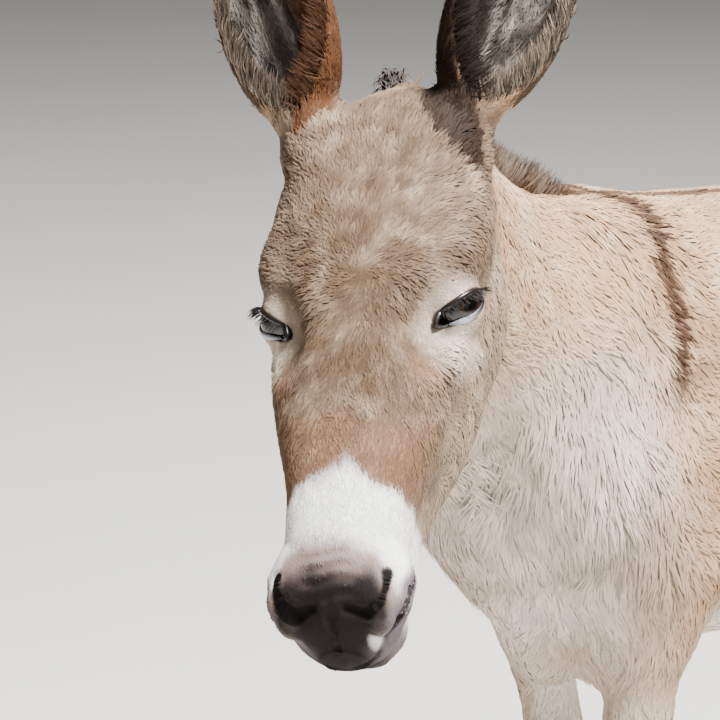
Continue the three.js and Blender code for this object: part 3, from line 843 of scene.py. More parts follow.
def earColour(p, q, name):
    rise, share, x, y = earPlace(name, q)
    half, inside = alongEar(share, x, y)
    outward = x / half * earSign[name]
    wobble = noises[2](p / 16) - 0.5
    c = np.tile(shades["coat"], (len(p), 1))
    c = mixed(c, "taupe", 0.6 + wobble)
    c = mixed(c, "earDark", 0.8 * smoothStep(0.72, 0.95, share + 0.1 * wobble))
    c = mixed(c, "earInside", inside)
    streak = noises[3](np.column_stack([x / 5, share * 9, y / 7])) - 0.5
    c = mixed(c, "earDark", 0.75 * inside * smoothStep(-0.02, 0.2, streak))
    c = mixed(c, "earPale", 0.8 * inside * smoothStep(-0.1, -0.25, streak))
    rim = smoothStep(0.72, 0.98, np.abs(x) / half)
    c = mixed(c, "earDark", 0.75 * rim)
    # the hollow side takes the ear's inner colour, which on the left ear is dark hair with painted shade
    medial = smoothStep(-0.05, 0.35, -outward + 0.5 * wobble) * smoothStep(-0.02, 0.06, rise)
    medial = medial * np.maximum(0.35, np.maximum(inside, smoothStep(0.6, 0.9, -outward)))
    return mixed(c, ears[name]["inner"], 0.9 * medial)


# which way across each ear leads away from the other
earSign = {name: math.copysign(1, earAxes(name)[3][0] * side) for name, side in sides.items()}

# where the dark hair of each ear runs down over its root, in the ear's inner colour, which on the left ear is
# darkened further as painted shade
earRoots = {
    "left": chain([[52, -18, 4], [76, 26, -4], [95, 54, -26]], [20, 22, 9], 1, 6),
    "right": chain([[52, -14, 4], [70, 14, 0]], [15, 9], -1, 6),
}


def furColour(p, normals):
    c = bodyColour(p, normals)
    near = np.nonzero(upperBody(p))[0]
    q = toHead(p[near])
    away = headForms(q)
    onHead = smoothStep(34, 0, away)[:, None]
    c[near] += onHead * (headColour(p[near], q) - c[near])
    for name in sides:
        ear = (earPlace(name, q)[0] > 0.0) & (earField(name, 0)(q) < 14)
        there = near[ear]
        weight = smoothStep(0.0, 0.1, earPlace(name, q[ear])[1])[:, None]
        c[there] += weight * (earColour(p[there], q[ear], name) - c[there])
        patch = smoothStep(5, -3, earRoots[name](q) + 6 * (noises[2](p[near] / 14) - 0.5))
        c[near] = mixed(c[near], ears[name]["inner"], 0.93 * patch)
    return c


def paintFur(mesh, colours):  # the markings, with the painted shade and highlight, as a colour at each vertex
    attribute = mesh.color_attributes.new("fur", "FLOAT_COLOR", "POINT")
    values = np.hstack([colours, np.ones((len(colours), 1))])
    attribute.data.foreach_set("color", values.astype(np.float32).ravel())


# Nodes
def feed(tree, node, inputs):  # each input gets a fixed value or a link from another node
    for key, value in inputs.items():
        if isinstance(value, bpy.types.NodeSocket):
            tree.links.new(value, node.inputs[key])
        else:
            node.inputs[key].default_value = value


def addNode(tree, kind, inputs=None, **settings):
    node = tree.nodes.new("ShaderNode" + kind)
    for key, value in settings.items():
        setattr(node, key, value)
    feed(tree, node, inputs or {})
    return node


def noiseNode(tree, place, scale, detail, roughness=0.5):
    return addNode(tree, "TexNoise", {"Vector": place, "Scale": scale, "Detail": detail,
                                      "Roughness": roughness}).outputs["Fac"]


def shadedBy(tree, colour, amount):
    return addNode(tree, "VectorMath", {0: colour, 1: amount}, operation="MULTIPLY").outputs[0]


def placeIn(tree):
    return addNode(tree, "TexCoord").outputs["Object"]


def furIn(tree):
    return addNode(tree, "Attribute", attribute_name="fur").outputs["Color"]


def newMaterial(name):
    material = bpy.data.materials.new(name)
    material.use_nodes = True
    tree = material.node_tree
    tree.nodes.clear()
    shader = addNode(tree, "BsdfPrincipled")
    addNode(tree, "OutputMaterial", {"Surface": shader.outputs[0]})
    return material, tree, shader


def rgba(code):
    return (*linear(code), 1.0)


def makeHideMaterial():  # short hair lying flat: fine streaks in the bump, dull, in the animal's own markings with the shade painted into the skin's colour
    material, tree, shader = newMaterial("short_donkey_hide")
    place = placeIn(tree)
    fleck = noiseNode(tree, place, 420.0, 3.0, 0.6)
    grain = noiseNode(tree, place, 90.0, 2.0)
    colour = furIn(tree)
    darker = addNode(tree, "MapRange", {"Value": fleck, "From Min": 0.3, "From Max": 0.7, "To Min": 0.82,
                                        "To Max": 1.12}).outputs[0]
    first = addNode(tree, "Bump", {"Height": grain, "Strength": 0.25, "Distance": 0.002})
    bump = addNode(tree, "Bump", {"Height": fleck, "Strength": 0.35, "Distance": 0.0006,
                                  "Normal": first.outputs[0]})
    feed(tree, shader, {"Base Color": shadedBy(tree, colour, darker), "Roughness": 0.78,
                        "Normal": bump.outputs[0], "Specular IOR Level": 0.08})
    return material


def makeHairMaterial(name, roughness):  # tufts of dry hair: dull, with hardly any shine of their own
    material, tree, shader = newMaterial(name)
    colour = furIn(tree)
    feed(tree, shader, {"Base Color": colour, "Roughness": roughness, "Specular IOR Level": 0.12})
    return material


def makeHornMaterial():  # hoof horn: growth rings, fine grain, dull grey-brown
    material, tree, shader = newMaterial("grey_hoof_horn")
    place = placeIn(tree)
    stretched = addNode(tree, "Mapping", {"Vector": place, "Scale": (160.0, 160.0, 9.0)}).outputs[0]
    grain = noiseNode(tree, stretched, 4.0, 4.0)
    rings = addNode(tree, "TexWave", {"Vector": place, "Scale": 42.0, "Distortion": 2.2, "Detail": 2.0,
                                      "Detail Scale": 1.5}, bands_direction="Z").outputs["Fac"]
    ramp = addNode(tree, "ValToRGB", {"Fac": grain})
    ramp.color_ramp.elements[0].position = 0.3
    ramp.color_ramp.elements[0].color = rgba("#3C352F")
    ramp.color_ramp.elements[1].position = 0.75
    ramp.color_ramp.elements[1].color = rgba("#7C6E60")
    first = addNode(tree, "Bump", {"Height": rings, "Strength": 0.45, "Distance": 0.0012})
    bump = addNode(tree, "Bump", {"Height": grain, "Strength": 0.3, "Distance": 0.0004,
                                  "Normal": first.outputs[0]})
    feed(tree, shader, {"Base Color": ramp.outputs[0], "Roughness": 0.5, "Normal": bump.outputs[0]})
    return material


# Coat: closed locks of hair lying along the body
lockPatch = 0.0014  # half the width of each lock's patch on the unwrap


def meshFrom(name, vertices, faces, colours, normals, uvs):
    mesh = bpy.data.meshes.new(name)
    mesh.vertices.add(len(vertices))
    mesh.vertices.foreach_set("co", vertices.astype(np.float32).ravel())
    mesh.loops.add(len(faces) * 3)
    mesh.loops.foreach_set("vertex_index", faces.astype(np.int32).ravel())
    mesh.polygons.add(len(faces))
    mesh.polygons.foreach_set("loop_start", np.arange(0, len(faces) * 3, 3, dtype=np.int32))
    mesh.update(calc_edges=True)
    paintFur(mesh, colours)
    layer = mesh.uv_layers.new(name="OFBake")
    layer.data.foreach_set("uv", uvs[faces.ravel()].astype(np.float32).ravel())
    mesh.polygons.foreach_set("use_smooth", np.ones(len(faces), bool))
    mesh.normals_split_custom_set_from_vertices(normals.astype(np.float32))
    return newPiece(name, mesh)


def lockFaces(stations):  # corners of one lock, whose rings have three points each
    rings = stations - 2
    last = 3 * rings + 1
    faces = []
    for i in range(3):
        j = (i + 1) % 3
        faces.append([0, 1 + i, 1 + j])
        faces.append([last, last - 3 + j, last - 3 + i])
        for r in range(rings - 1):
            a, b = 1 + 3 * r, 4 + 3 * r
            faces += [[a + i, b + i, b + j], [a + i, b + j, a + j]]
    return np.array(faces)


def makeLocks(name, paths, across, ups, widths, thickness, tones, colours, uvs):
    # paths: locks x stations x 3, in plan millimetres; widths: locks x rings; tones: one per station
    count, stations, _ = paths.shape
    rings = stations - 2
    inner = paths[:, 1:-1]
    ring = np.stack([inner + across * widths[..., None] / 2, inner + ups * thickness[..., None],
                     inner - across * widths[..., None] / 2], 2).reshape(count, rings * 3, 3)
    vertices = np.concatenate([paths[:, :1], ring, paths[:, -1:]], 1)
    edge = np.stack([unit(ups + 0.5 * across), ups, unit(ups - 0.5 * across)], 2).reshape(count, rings * 3, 3)
    normals = np.concatenate([ups[:, :1], edge, ups[:, -1:]], 1)
    tone = np.concatenate([tones[:1], np.repeat(tones[1:-1], 3), tones[-1:]])
    shade = colours[:, None, :] * tone[None, :, None]
    each = 3 * rings + 2
    faces = (lockFaces(stations)[None] + (np.arange(count) * each)[:, None, None]).reshape(-1, 3)
    turn = np.linspace(0, 2 * np.pi, each, endpoint=False)
    offset = lockPatch * np.stack([np.cos(turn), np.sin(turn)], 1)
    spread = (uvs[:, None, :] + offset[None]).reshape(-1, 2)
    return meshFrom(name, fromPlan(vertices.reshape(-1, 3)), faces, shade.reshape(-1, 3),
                    normals.reshape(-1, 3), spread)


def surfaceOf(piece):  # corners, normals and unwrapped places of a triangle mesh
    mesh = piece.data
    mesh.calc_loop_triangles()
    triangles = np.empty(len(mesh.loop_triangles) * 3, int)
    mesh.loop_triangles.foreach_get("vertices", triangles)
    loops = np.empty(len(mesh.loop_triangles) * 3, int)
    mesh.loop_triangles.foreach_get("loops", loops)
    uv = np.empty(len(mesh.loops) * 2)
    mesh.uv_layers["OFBake"].data.foreach_get("uv", uv)
    normals = np.empty(len(mesh.vertices) * 3)
    mesh.vertex_normals.foreach_get("vector", normals)
    return {"p": toPlan(coordsOf(piece)), "n": normals.reshape(-1, 3), "tri": triangles.reshape(-1, 3),
            "uv": uv.reshape(-1, 2)[loops].reshape(-1, 3, 2)}


def scattered(surface, density, seed):  # roots, with density (locks per cm2) at each vertex
    rng = np.random.default_rng(seed)
    tri, p = surface["tri"], surface["p"]
    a, b, c = p[tri[:, 0]], p[tri[:, 1]], p[tri[:, 2]]
    area = np.linalg.norm(np.cross(b - a, c - a), axis=1) / 200
    wanted = area * density[tri].mean(1)
    number = np.floor(wanted + rng.random(len(tri))).astype(int)
    face = np.repeat(np.arange(len(tri)), number)
    u, v = rng.random((2, len(face)))
    flip = u + v > 1
    u[flip], v[flip] = 1 - u[flip], 1 - v[flip]
    w = np.stack([1 - u - v, u, v], 1)
    root = np.einsum("ij,ijk->ik", w, p[tri[face]])
    normal = unit(np.einsum("ij,ijk->ik", w, surface["n"][tri[face]]))
    uv = np.einsum("ij,ijk->ik", w, surface["uv"][face])
    return root, normal, uv


def headVector(v):  # a direction given in the head's frame, turned into the plan
    return fromHead(v) - fromHead(np.zeros((1, 3)))


def lieOf(p, normals):  # which way the hair lies, before it is laid on the skin
    back = np.tile([0.0, 0.85, -0.5], (len(p), 1))
    top = smoothStep(0.3, 0.9, normals[:, 2])[:, None]
    back = back + top * ([0.0, 1.0, -0.05] - back)
    down = np.tile([0.0, 0.12, -1.0], (len(p), 1))
    chest = smoothStep(60, -90, p[:, 1])[:, None]
    back = back + chest * (down - back)
    rump = smoothStep(560, 700, p[:, 1])[:, None]
    back = back + rump * (down + [0, 0.2, 0] - back)
    leg = smoothStep(760, 600, p[:, 2])[:, None] * smoothStep(0.9, 0.3, np.abs(normals[:, 2]))[:, None]
    back = back + leg * (down - back)
    high = smoothStep(40, -160, p[:, 1])[:, None] * smoothStep(880, 960, p[:, 2])[:, None]
    backward = np.tile([0.0, 0.75, -0.65], (len(p), 1))
    lie = unit(back + high * (backward - back))
    near = np.nonzero(upperBody(p))[0]
    q = toHead(p[near])
    d = q - [10, 172, 0]
    swirl = np.stack([-d[:, 1], d[:, 0], 0 * d[:, 0]], 1)
    radius = np.hypot(d[:, 0], d[:, 1])[:, None]
    face = unit(np.stack([d[:, 0] * 1.2, d[:, 1], 0 * d[:, 0]], 1)) + 0.8 * unit(swirl) * np.exp(-radius / 45)
    cheek = smoothStep(-25, -70, q[:, 2])[:, None]
    sideways = np.tile([0.0, 0.25, -1.0], (len(q), 1))
    face = face + cheek * (sideways - face)
    lips = smoothStep(300, 400, q[:, 1])[:, None]
    face = face + lips * ([0, 1.0, -0.3] - face)
    weight = smoothStep(60, 10, headForms(q))[:, None]
    lie[near] = unit(lie[near] + weight * (unit(headVector(face)) - lie[near]))
    for name in sides:
        close = earField(name, 0)(q) < 12
        axis = headVector(np.tile(earAxes(name)[1], (int(close.sum()), 1)))
        lie[near[close]] = unit(axis)
    return lie


def noiseVector(p, scale):
    return np.stack([noise(p / scale + 5.3 * i) for i, noise in enumerate(noises[:3])], 1) * 2 - 1


def laid(direction, normals):
    flat = direction - normals * (direction * normals).sum(1, keepdims=True)
    return unit(flat)


coat = {
    "seed": 41,
    "clumps": {6: (0, 8), 9: (8, 15), 17: (15, 99)},  # spacing, and the lengths of hair it holds for, mm
    "share": 0.91,  # of the densities below
    "quickShare": 0.12,
    "most": 32500,  # locks in one piece
    "thickness": 0.2,  # of each lock's width
    "tones": [0.84, 0.96, 1.05],  # from root to tip: painted shade makes each lock darkest at its root, and its tip a little lighter
    "pull": 0.55,  # how far each tip leans towards its clump's
    "rough": 0.5,  # wandering of the lie
    "fineRough": 0.35,
    "scatter": 0.16,
    "lift": 0.025,  # least and further rise of a lock, as a share of its length
    "moreLift": 0.05,
    "contrast": 0.14,  # between clumps, and what face, chest and ears add to it
    "faceContrast": 0.3,
    "chestContrast": 0.26,
    "earContrast": 0.5,
    "earDensity": 14.0,  # locks per square centimetre
}


def hairLengths(p, q, away, rng):  # length and width in millimetres
    height = p[:, 2]
    length = np.interp(height, [60, 150, 330, 520, 660], [7, 9, 11, 16, 26])
    width = np.interp(height, [60, 330, 600], [1.6, 2.0, 2.9])
    chest = smoothStep(30, -110, p[:, 1]) * smoothStep(1010, 900, height) * smoothStep(560, 640, height)
    length = length + 14 * chest
    face = np.interp(q[:, 1], [-40, 120, 300, 380, 430, 470], [17, 11, 9, 6, 3.6, 3.0])
    jaw = smoothStep(-95, -130, q[:, 2]) * smoothStep(360, 260, q[:, 1])
    face = face + 10 * jaw
    onHead = smoothStep(45, 12, away)
    for side in sides.values():
        face = face * (0.45 + 0.55 * smoothStep(26, 48, fromEye(q, side)))
    length = length + onHead * (face - length)
    width = width + onHead * (np.interp(q[:, 1], [0, 300, 400, 450], [2.3, 2.0, 1.4, 1.1]) - width)
    spread = 0.75 + 0.5 * rng.random(len(p))
    return length * spread, width * (0.8 + 0.4 * rng.random(len(p)))


def nearestClump(roots, spacing, seed):  # the lock in the middle of the clump that each one grows in
    rng = np.random.default_rng(seed)
    order = rng.permutation(len(roots))
    cells = np.floor(roots[order] / spacing).astype(int)
    _, first = np.unique(cells, axis=0, return_index=True)
    centres = order[first]
    tree = KDTree(len(centres))
    for i, centre in enumerate(centres):
        tree.insert(roots[centre], i)
    tree.balance()
    return centres[np.array([tree.find(root)[1] for root in roots])]


def coatPiece(name, root, normal, uv, seed):
    rng = np.random.default_rng(seed)
    q = toHead(root)
    away = headDistance(root, q)
    length, width = hairLengths(root, q, away, rng)
    hairyEar = np.zeros(len(root), bool)
    for ear in sides:
        there = onEar(ear, root, q)
        cup = there & (alongEar(*earPlace(ear, q)[1:])[1] > 0.5)
        length = np.where(there, np.where(cup, 9, 6) * (0.7 + 0.6 * rng.random(len(root))), length)
        width = np.where(there, 1.5, width)
        hairyEar = hairyEar | there
    lie = lieOf(root, normal) + coat["rough"] * noiseVector(root, 42)
    lie = lie + coat["fineRough"] * noiseVector(root + 90, 11)
    lie = laid(lie + coat["scatter"] * rng.standard_normal(root.shape), normal)
    lift = (coat["lift"] + coat["moreLift"] * rng.random(len(root))) * np.where(hairyEar, 2.5, 1)
    for side in sides.values():
        lift = lift * smoothStep(24, 44, fromEye(q, side))
    pulled = np.zeros_like(root)
    clump = np.zeros(len(root))
    for spacing, (low, high) in coat["clumps"].items():
        chosen = np.nonzero((length >= low) & (length < high))[0]
        if len(chosen):
            reach = lie[chosen] * length[chosen, None]
            nearest = nearestClump(root[chosen], spacing, seed + spacing)
            tip = root[chosen][nearest] + reach[nearest] * 0.9
            pulled[chosen] = tip - root[chosen]
            clump[chosen] = np.random.default_rng(seed + spacing).random(len(chosen))[nearest]
    reach = laid(lie * length[:, None] * (1 - coat["pull"]) + pulled * coat["pull"], normal) * length[:, None]
    height = root[:, 2]
    onChest = smoothStep(0, -110, root[:, 1]) * smoothStep(900, 820, height) * smoothStep(560, 640, height)
    side = unit(np.cross(reach, normal))
    mid = root + reach * 0.42 + normal * (lift * length)[:, None] * 0.75
    loose = rng.random(len(root)) < 0.12 + 0.25 * onChest + 0.6 * hairyEar
    tip = root + reach + normal * np.where(loose, 0.9 * lift * length, -0.3)[:, None]
    paths = np.stack([root - normal * 1.2, mid, tip], 1)
    colour = furColour(root, normal)
    onFace = smoothStep(45, 12, away) * smoothStep(430, 380, q[:, 1])
    contrast = coat["contrast"] + coat["faceContrast"] * onFace + coat["chestContrast"] * onChest
    contrast = contrast + coat["earContrast"] * hairyEar
    grain = 0.9 + 0.18 * rng.random(len(root)) + contrast * (clump - 0.5)
    colour = np.clip(colour * grain[:, None], 0, 1)
    return makeLocks(name, paths, side[:, None], normal[:, None], width[:, None],
                     width[:, None] * coat["thickness"], np.array(coat["tones"]), colour, uv)


def hairDensity(p):  # locks per square centimetre
    q = toHead(p)
    height = p[:, 2]
    density = np.interp(height, [60, 330, 520, 660], [9, 9, 8.5, 7.6])
    onHead = smoothStep(45, 12, headDistance(p, q))
    face = np.interp(q[:, 1], [-40, 300, 380, 420, 445, 470], [14, 16, 18, 16, 7, 3])
    density = coat["share"] * (density + onHead * (face - density))
    for name in sides:
        density = np.where(onEar(name, p, q), coat["earDensity"], density)
    return density


def makeCoat(skin):
    surface = surfaceOf(skin)
    density = hairDensity(surface["p"])
    near = np.nonzero(upperBody(surface["p"]))[0]
    q = toHead(surface["p"][near])
    for side in sides.values():
        density[near[(eyeOpening(q, side) < 6) & (fromEye(q, side) < eyes["socket"])]] = 0
    for pit in (forms[1] for forms in noseForms):
        density[near[pit(q) < 3]] = 0
    root, normal, uv = scattered(surface, density, coat["seed"])
    q = toHead(root)
    onHead = headDistance(root, q) < 45
    y, z = root[:, 1], root[:, 2]
    regions = {
        "muzzle": onHead & (q[:, 1] > 250),
        "head": onHead,
        "ears": z > 1180,
        "front": (y < 40) & (z > 620),
        "barrel": (y < 330) & (z > 560),
        "rump": z > 560,
        "forelegs": y < 300,
    }
    label = np.select(list(regions.values()), list(regions), "hindlegs")
    pieces = []
    for i, name in enumerate([*regions, "hindlegs"]):
        chosen = np.nonzero(label == name)[0]
        parts = max(1, math.ceil(len(chosen) / coat["most"]))
        order = chosen[np.argsort(root[chosen, 0], kind="stable")]
        for k, group in enumerate(np.array_split(order, parts)):
            seed = 100 + 10 * i + k
            pieces.append(coatPiece(f"coat_{name}_{k + 1}", root[group], normal[group], uv[group], seed))
            print(pieces[-1].name, len(group), "locks")
    return pieces


# Long hair: mane, forelock, tail, ear fringe
mane = {
    "seed": 8, "locks": 5500, "length": 47, "width": 2.4, "stations": 5, "curl": 0.12,
    "height": 46,  # of the crest
    "half": 13,
    "span": [0.14, 1.03],  # share of the neck's length
    "buried": 20,  # depth of the roots below the crest
}
tail = {"seed": 14, "locks": 4000, "length": 235, "width": 4.2, "stations": 6, "curl": 0.07, "tip": 345}
forelock = {"seed": 21, "locks": 260, "length": 20, "width": 2.0, "stations": 6, "curl": 0.14}
earHair = {"seed": {"left": 31, "right": 32}, "locks": 2800, "width": 1.5, "stations": 5, "curl": 0.1}
lashes = {"seed": 51, "locks": 90, "length": 10, "width": 0.9, "stations": 6, "curl": 0.05}


def crestPoint(t):
    run = unit(neckPoint(t + 0.02) - neckPoint(t - 0.02))
    up = unit(np.cross(unit(np.cross(run, [0, 0, 1])), run))
    depth = along(neckSections, np.array(t))[1]
    rise = depth + mane["height"] * (0.28 - 0.2 * t ** 4)
    left = headVector(np.array([[1.0, 0, 0]]))[0]
    return neckPoint(t) + up * rise - left * 20 * t * t, up, run


def bent(root, direction, fall, length, stations, rng, curl):  # hair that starts one way and falls another
    points = [root]
    heading = direction
    for i in range(stations - 1):
        share = (i + 1) / (stations - 1)
        wander = curl * rng.standard_normal(root.shape)
        heading = unit(heading * (1 - 0.5 * share) + fall * share * 0.5 + wander)
        points.append(points[-1] + heading * (length / (stations - 1))[:, None])
    return np.stack(points, 1)


def skinMap(skin):  # the unwrapped place of the skin nearest to each root
    surface = surfaceOf(skin)
    places = np.zeros((len(surface["p"]), 2))
    places[surface["tri"].ravel()] = surface["uv"].reshape(-1, 2)
    tree = KDTree(len(places))
    for i, point in enumerate(surface["p"]):
        tree.insert(point, i)
    tree.balance()
    return lambda roots: places[[tree.find(root)[1] for root in roots]]


def longHair(name, kind, root, direction, fall, length, colour, seed, face):
    rng = np.random.default_rng(seed)
    stations = kind["stations"]
    paths = bent(root, direction, fall, length, stations, rng, kind["curl"])
    run = unit(paths[:, 2:] - paths[:, :-2])
    outward = np.repeat(face[:, None], stations - 2, 1)
    ups = laid(outward.reshape(-1, 3), run.reshape(-1, 3)).reshape(run.shape)
    widths = kind["width"] * np.sin(np.linspace(0.5, 2.6, stations - 2))[None]
    tones = np.linspace(0.7, 1.15, stations)
    grain = 0.75 + 0.5 * rng.random(len(root))
    return makeLocks(name, paths, unit(np.cross(run, ups)), ups, widths, widths * 0.3, tones,
                     np.clip(colour * grain[:, None], 0, 1), unwrappedPlace(root))


def makeMane():
    rng = np.random.default_rng(mane["seed"])
    count = mane["locks"]
    t = rng.uniform(*mane["span"], count)
    places = [crestPoint(v) for v in t]
    crest, up, run = (np.array([place[i] for place in places]) for i in range(3))
    left = unit(np.cross(run, up))
    across = rng.uniform(-1, 1, count)
    root = crest + left * (across * mane["half"] * 0.8)[:, None] - up * mane["buried"]
    lean = unit(up + left * (across * 0.3)[:, None] + run * 0.1 + 0.25 * noiseVector(root, 24))
    length = mane["length"] * (0.75 + 0.3 * rng.random(count))
    length = length * np.interp(t, [0.16, 0.3, 0.85, 1.0], [0.7, 1, 0.8, 0.35])
    colour = mixed(np.tile(shades["mane"], (count, 1)), "pale", 0.25 * smoothStep(0.5, 1.0, np.abs(across)))
    face = unit(left * np.sign(across)[:, None] + up * 0.3)
    return longHair("mane_hair", mane, root, lean, lean, length, colour, 9, face)


def makeTail():
    rng = np.random.default_rng(tail["seed"])
    count = tail["locks"]
    z = rng.uniform(470, 700, count)
    levels = [470, 640, 740]
    centre = np.stack([np.interp(z, levels, [8, 4, 0]), np.interp(z, levels, [794, 800, 806]), z], 1)
    turn = rng.uniform(0, 2 * np.pi, count)
    outward = np.stack([np.cos(turn), np.sin(turn), 0 * turn], 1)
    radius = np.interp(z, [470, 560, 640, 700], [3, 8, 14, 17])
    root = centre + outward * radius[:, None]
    direction = unit(outward * 0.25 + [0, -0.03, -1])
    fall = unit(-outward * 0.15 + [0, -0.06, -1])
    length = np.minimum(tail["length"] * (0.7 + 0.4 * rng.random(count)), z - tail["tip"])
    colour = mixed(np.tile(shades["tail"], (count, 1)), "earDark", rng.random(count) * 0.5)
    return longHair("tail_hair", tail, root, direction, fall, length, colour, 15, outward)


def makeForelock():
    rng = np.random.default_rng(forelock["seed"])
    count = forelock["locks"]
    q = np.stack([rng.normal(-8, 5, count), rng.uniform(-78, -60, count), rng.uniform(-62, -50, count)], 1)
    ones = np.ones(count)
    direction = np.stack([0.2 * rng.standard_normal(count), 0.25 + 0.2 * rng.random(count), 0.9 * ones], 1)
    fall = np.stack([0.3 + 0.2 * rng.standard_normal(count), ones, 0.15 * ones], 1)
    length = forelock["length"] + 14 * rng.random(count)
    face = np.tile([0.0, -0.4, 1.0], (count, 1))
    return longHair("forelock_hair", forelock, fromHead(q), unit(headVector(direction)), unit(headVector(fall)),
                    length, np.tile(shades["mane"], (count, 1)), 22, unit(headVector(face)))


def makeEarHair(name):  # a pale fringe from the rims, across the foot of the cup
    rng = np.random.default_rng(earHair["seed"][name])
    count = earHair["locks"]
    base, axis, facing, across = earAxes(name)
    share = rng.beta(1.1, 1.7, count) * 0.82
    side = np.sign(rng.standard_normal(count))
    _, half, depth, angle, wall = along(ears["profile"], share).T
    lean = np.radians(angle) * side * rng.uniform(0.8, 0.97, count)
    x = (half - wall * 0.5) * np.sin(lean)
    y = (depth - wall * 0.5) * (0.25 - np.cos(lean)) + ears["bend"] * share ** 2
    q = base + np.outer(share * ears["length"], axis) + np.outer(x, across) + np.outer(y, facing)
    direction = unit(np.outer(-side * 0.6, across) + 0.5 * axis + 0.4 * facing
                     + 0.3 * rng.standard_normal((count, 3)))
    fall = unit(np.outer(-side * 0.4, across) + axis + 0.12 * facing)
    inner = smoothStep(0, 0.5, -side * earSign[name])
    colour = mixed(np.tile(shades["earInside"], (count, 1)), "pale", 0.5 * rng.random(count) * (1 - inner))
    colour = mixed(colour, "earDark", 0.8 * rng.random(count) ** 2)
    # on the hollow side, the ear's inner colour: near black with painted shade on the left ear
    colour = mixed(colour, ears[name]["inner"], 0.85 * inner)
    length = np.interp(share, [0, 0.3, 0.8], [34, 24, 12]) * (0.6 + 0.6 * rng.random(count))
    face = unit(headVector(np.tile(facing, (count, 1))))
    return longHair("ear_hair_" + name, earHair, fromHead(q), unit(headVector(direction)),
                    unit(headVector(fall)), length, colour, 33, face)


# Eyes, lids and lashes
def headMesh(name, q, faces):  # the head's frame is left-handed, so the faces are turned over
    mesh = bpy.data.meshes.new(name)
    mesh.from_pydata(fromPlan(fromHead(q)).tolist(), [], [list(face)[::-1] for face in faces])
    mesh.shade_smooth()
    return newPiece(name, mesh)


def makeEye(name, side):
    centre, _, _, out = eyeAxes(side)
    bpy.ops.object.select_all(action="DESELECT")
    middle = fromPlan(fromHead(centre[None]))[0]
    bpy.ops.mesh.primitive_uv_sphere_add(segments=64, ring_count=40, radius=eyes["radius"] / 1000,
                                         location=middle)
    bpy.ops.object.transform_apply(location=True, rotation=False, scale=False)
    eye = bpy.context.view_layer.objects.active
    eye.name = eye.data.name = "eye_ball_" + name
    q = toHead(toPlan(coordsOf(eye)))
    away = unit(q - centre)
    bulge = eyes["bulge"] * smoothStep(0.72, 0.95, away @ out)
    setCoords(eye, fromPlan(fromHead(centre + away * (eyes["radius"] + bulge)[:, None])))
    selectOnly(eye)
    bpy.ops.object.shade_smooth()
    eye.data.materials.append(makeEyeMaterial(name, side))
    return eye


def makeEyeMaterial(name, side):  # wet cornea over a dark brown iris with a wide level pupil
    material, tree, shader = newMaterial("wet_brown_eye_" + name)
    centre, slit, up, _ = eyeAxes(side)
    place = placeIn(tree)
    middle = fromPlan(fromHead(centre[None]))[0]
    offset = addNode(tree, "VectorMath", {0: place, 1: tuple(middle)}, operation="SUBTRACT").outputs[0]

    def distance(*scales):  # from the middle, where 1 is the iris's edge at scale 1
        squares = []
        for axis, half, scale in zip((slit, up), eyes["iris"], scales):
            world = unit(headVector(axis[None])[0])
            dot = addNode(tree, "VectorMath", {0: offset, 1: tuple(world / (half * scale))},
                          operation="DOT_PRODUCT").outputs["Value"]
            squares.append(addNode(tree, "Math", {0: dot, 1: dot}, operation="MULTIPLY").outputs[0])
        total = addNode(tree, "Math", {0: squares[0], 1: squares[1]}, operation="ADD").outputs[0]
        return addNode(tree, "Math", {0: total}, operation="SQRT").outputs[0]

    streak = noiseNode(tree, place, 700.0, 2.0)
    iris = addNode(tree, "ValToRGB", {"Fac": distance(1.0, 1.15)})
    ramp = iris.color_ramp
    ramp.elements[0].position, ramp.elements[0].color = 0.4, rgba("#1E120B")
    ramp.elements[1].position, ramp.elements[1].color = 0.98, rgba("#0E0907")
    ring = ramp.elements.new(0.75)
    ring.color = rgba("#2C1A0E")
    pupil = addNode(tree, "MapRange", {"Value": distance(0.62, 0.36), "From Min": 0.85, "From Max": 1.1})
    dark = shadedBy(tree, iris.outputs["Color"], pupil.outputs[0])
    mottled = addNode(tree, "MapRange", {"Value": streak, "To Min": 0.7, "To Max": 1.3}).outputs[0]
    feed(tree, shader, {"Base Color": shadedBy(tree, dark, mottled), "Roughness": 0.06, "Coat Weight": 0.25,
                        "Coat Roughness": 0.03})
    return material


def lidPath(turn, side, rise):  # points on the opening's edge, lifted off the ball
    centre, slit, up, out = eyeAxes(side)
    x, y = lidCurve(turn)
    radius = eyes["radius"] + rise
    z = np.sqrt(np.maximum(radius ** 2 - x ** 2 - y ** 2, 9.0 ** 2))
    return centre + np.outer(x, slit) + np.outer(y, up) + np.outer(z, out)


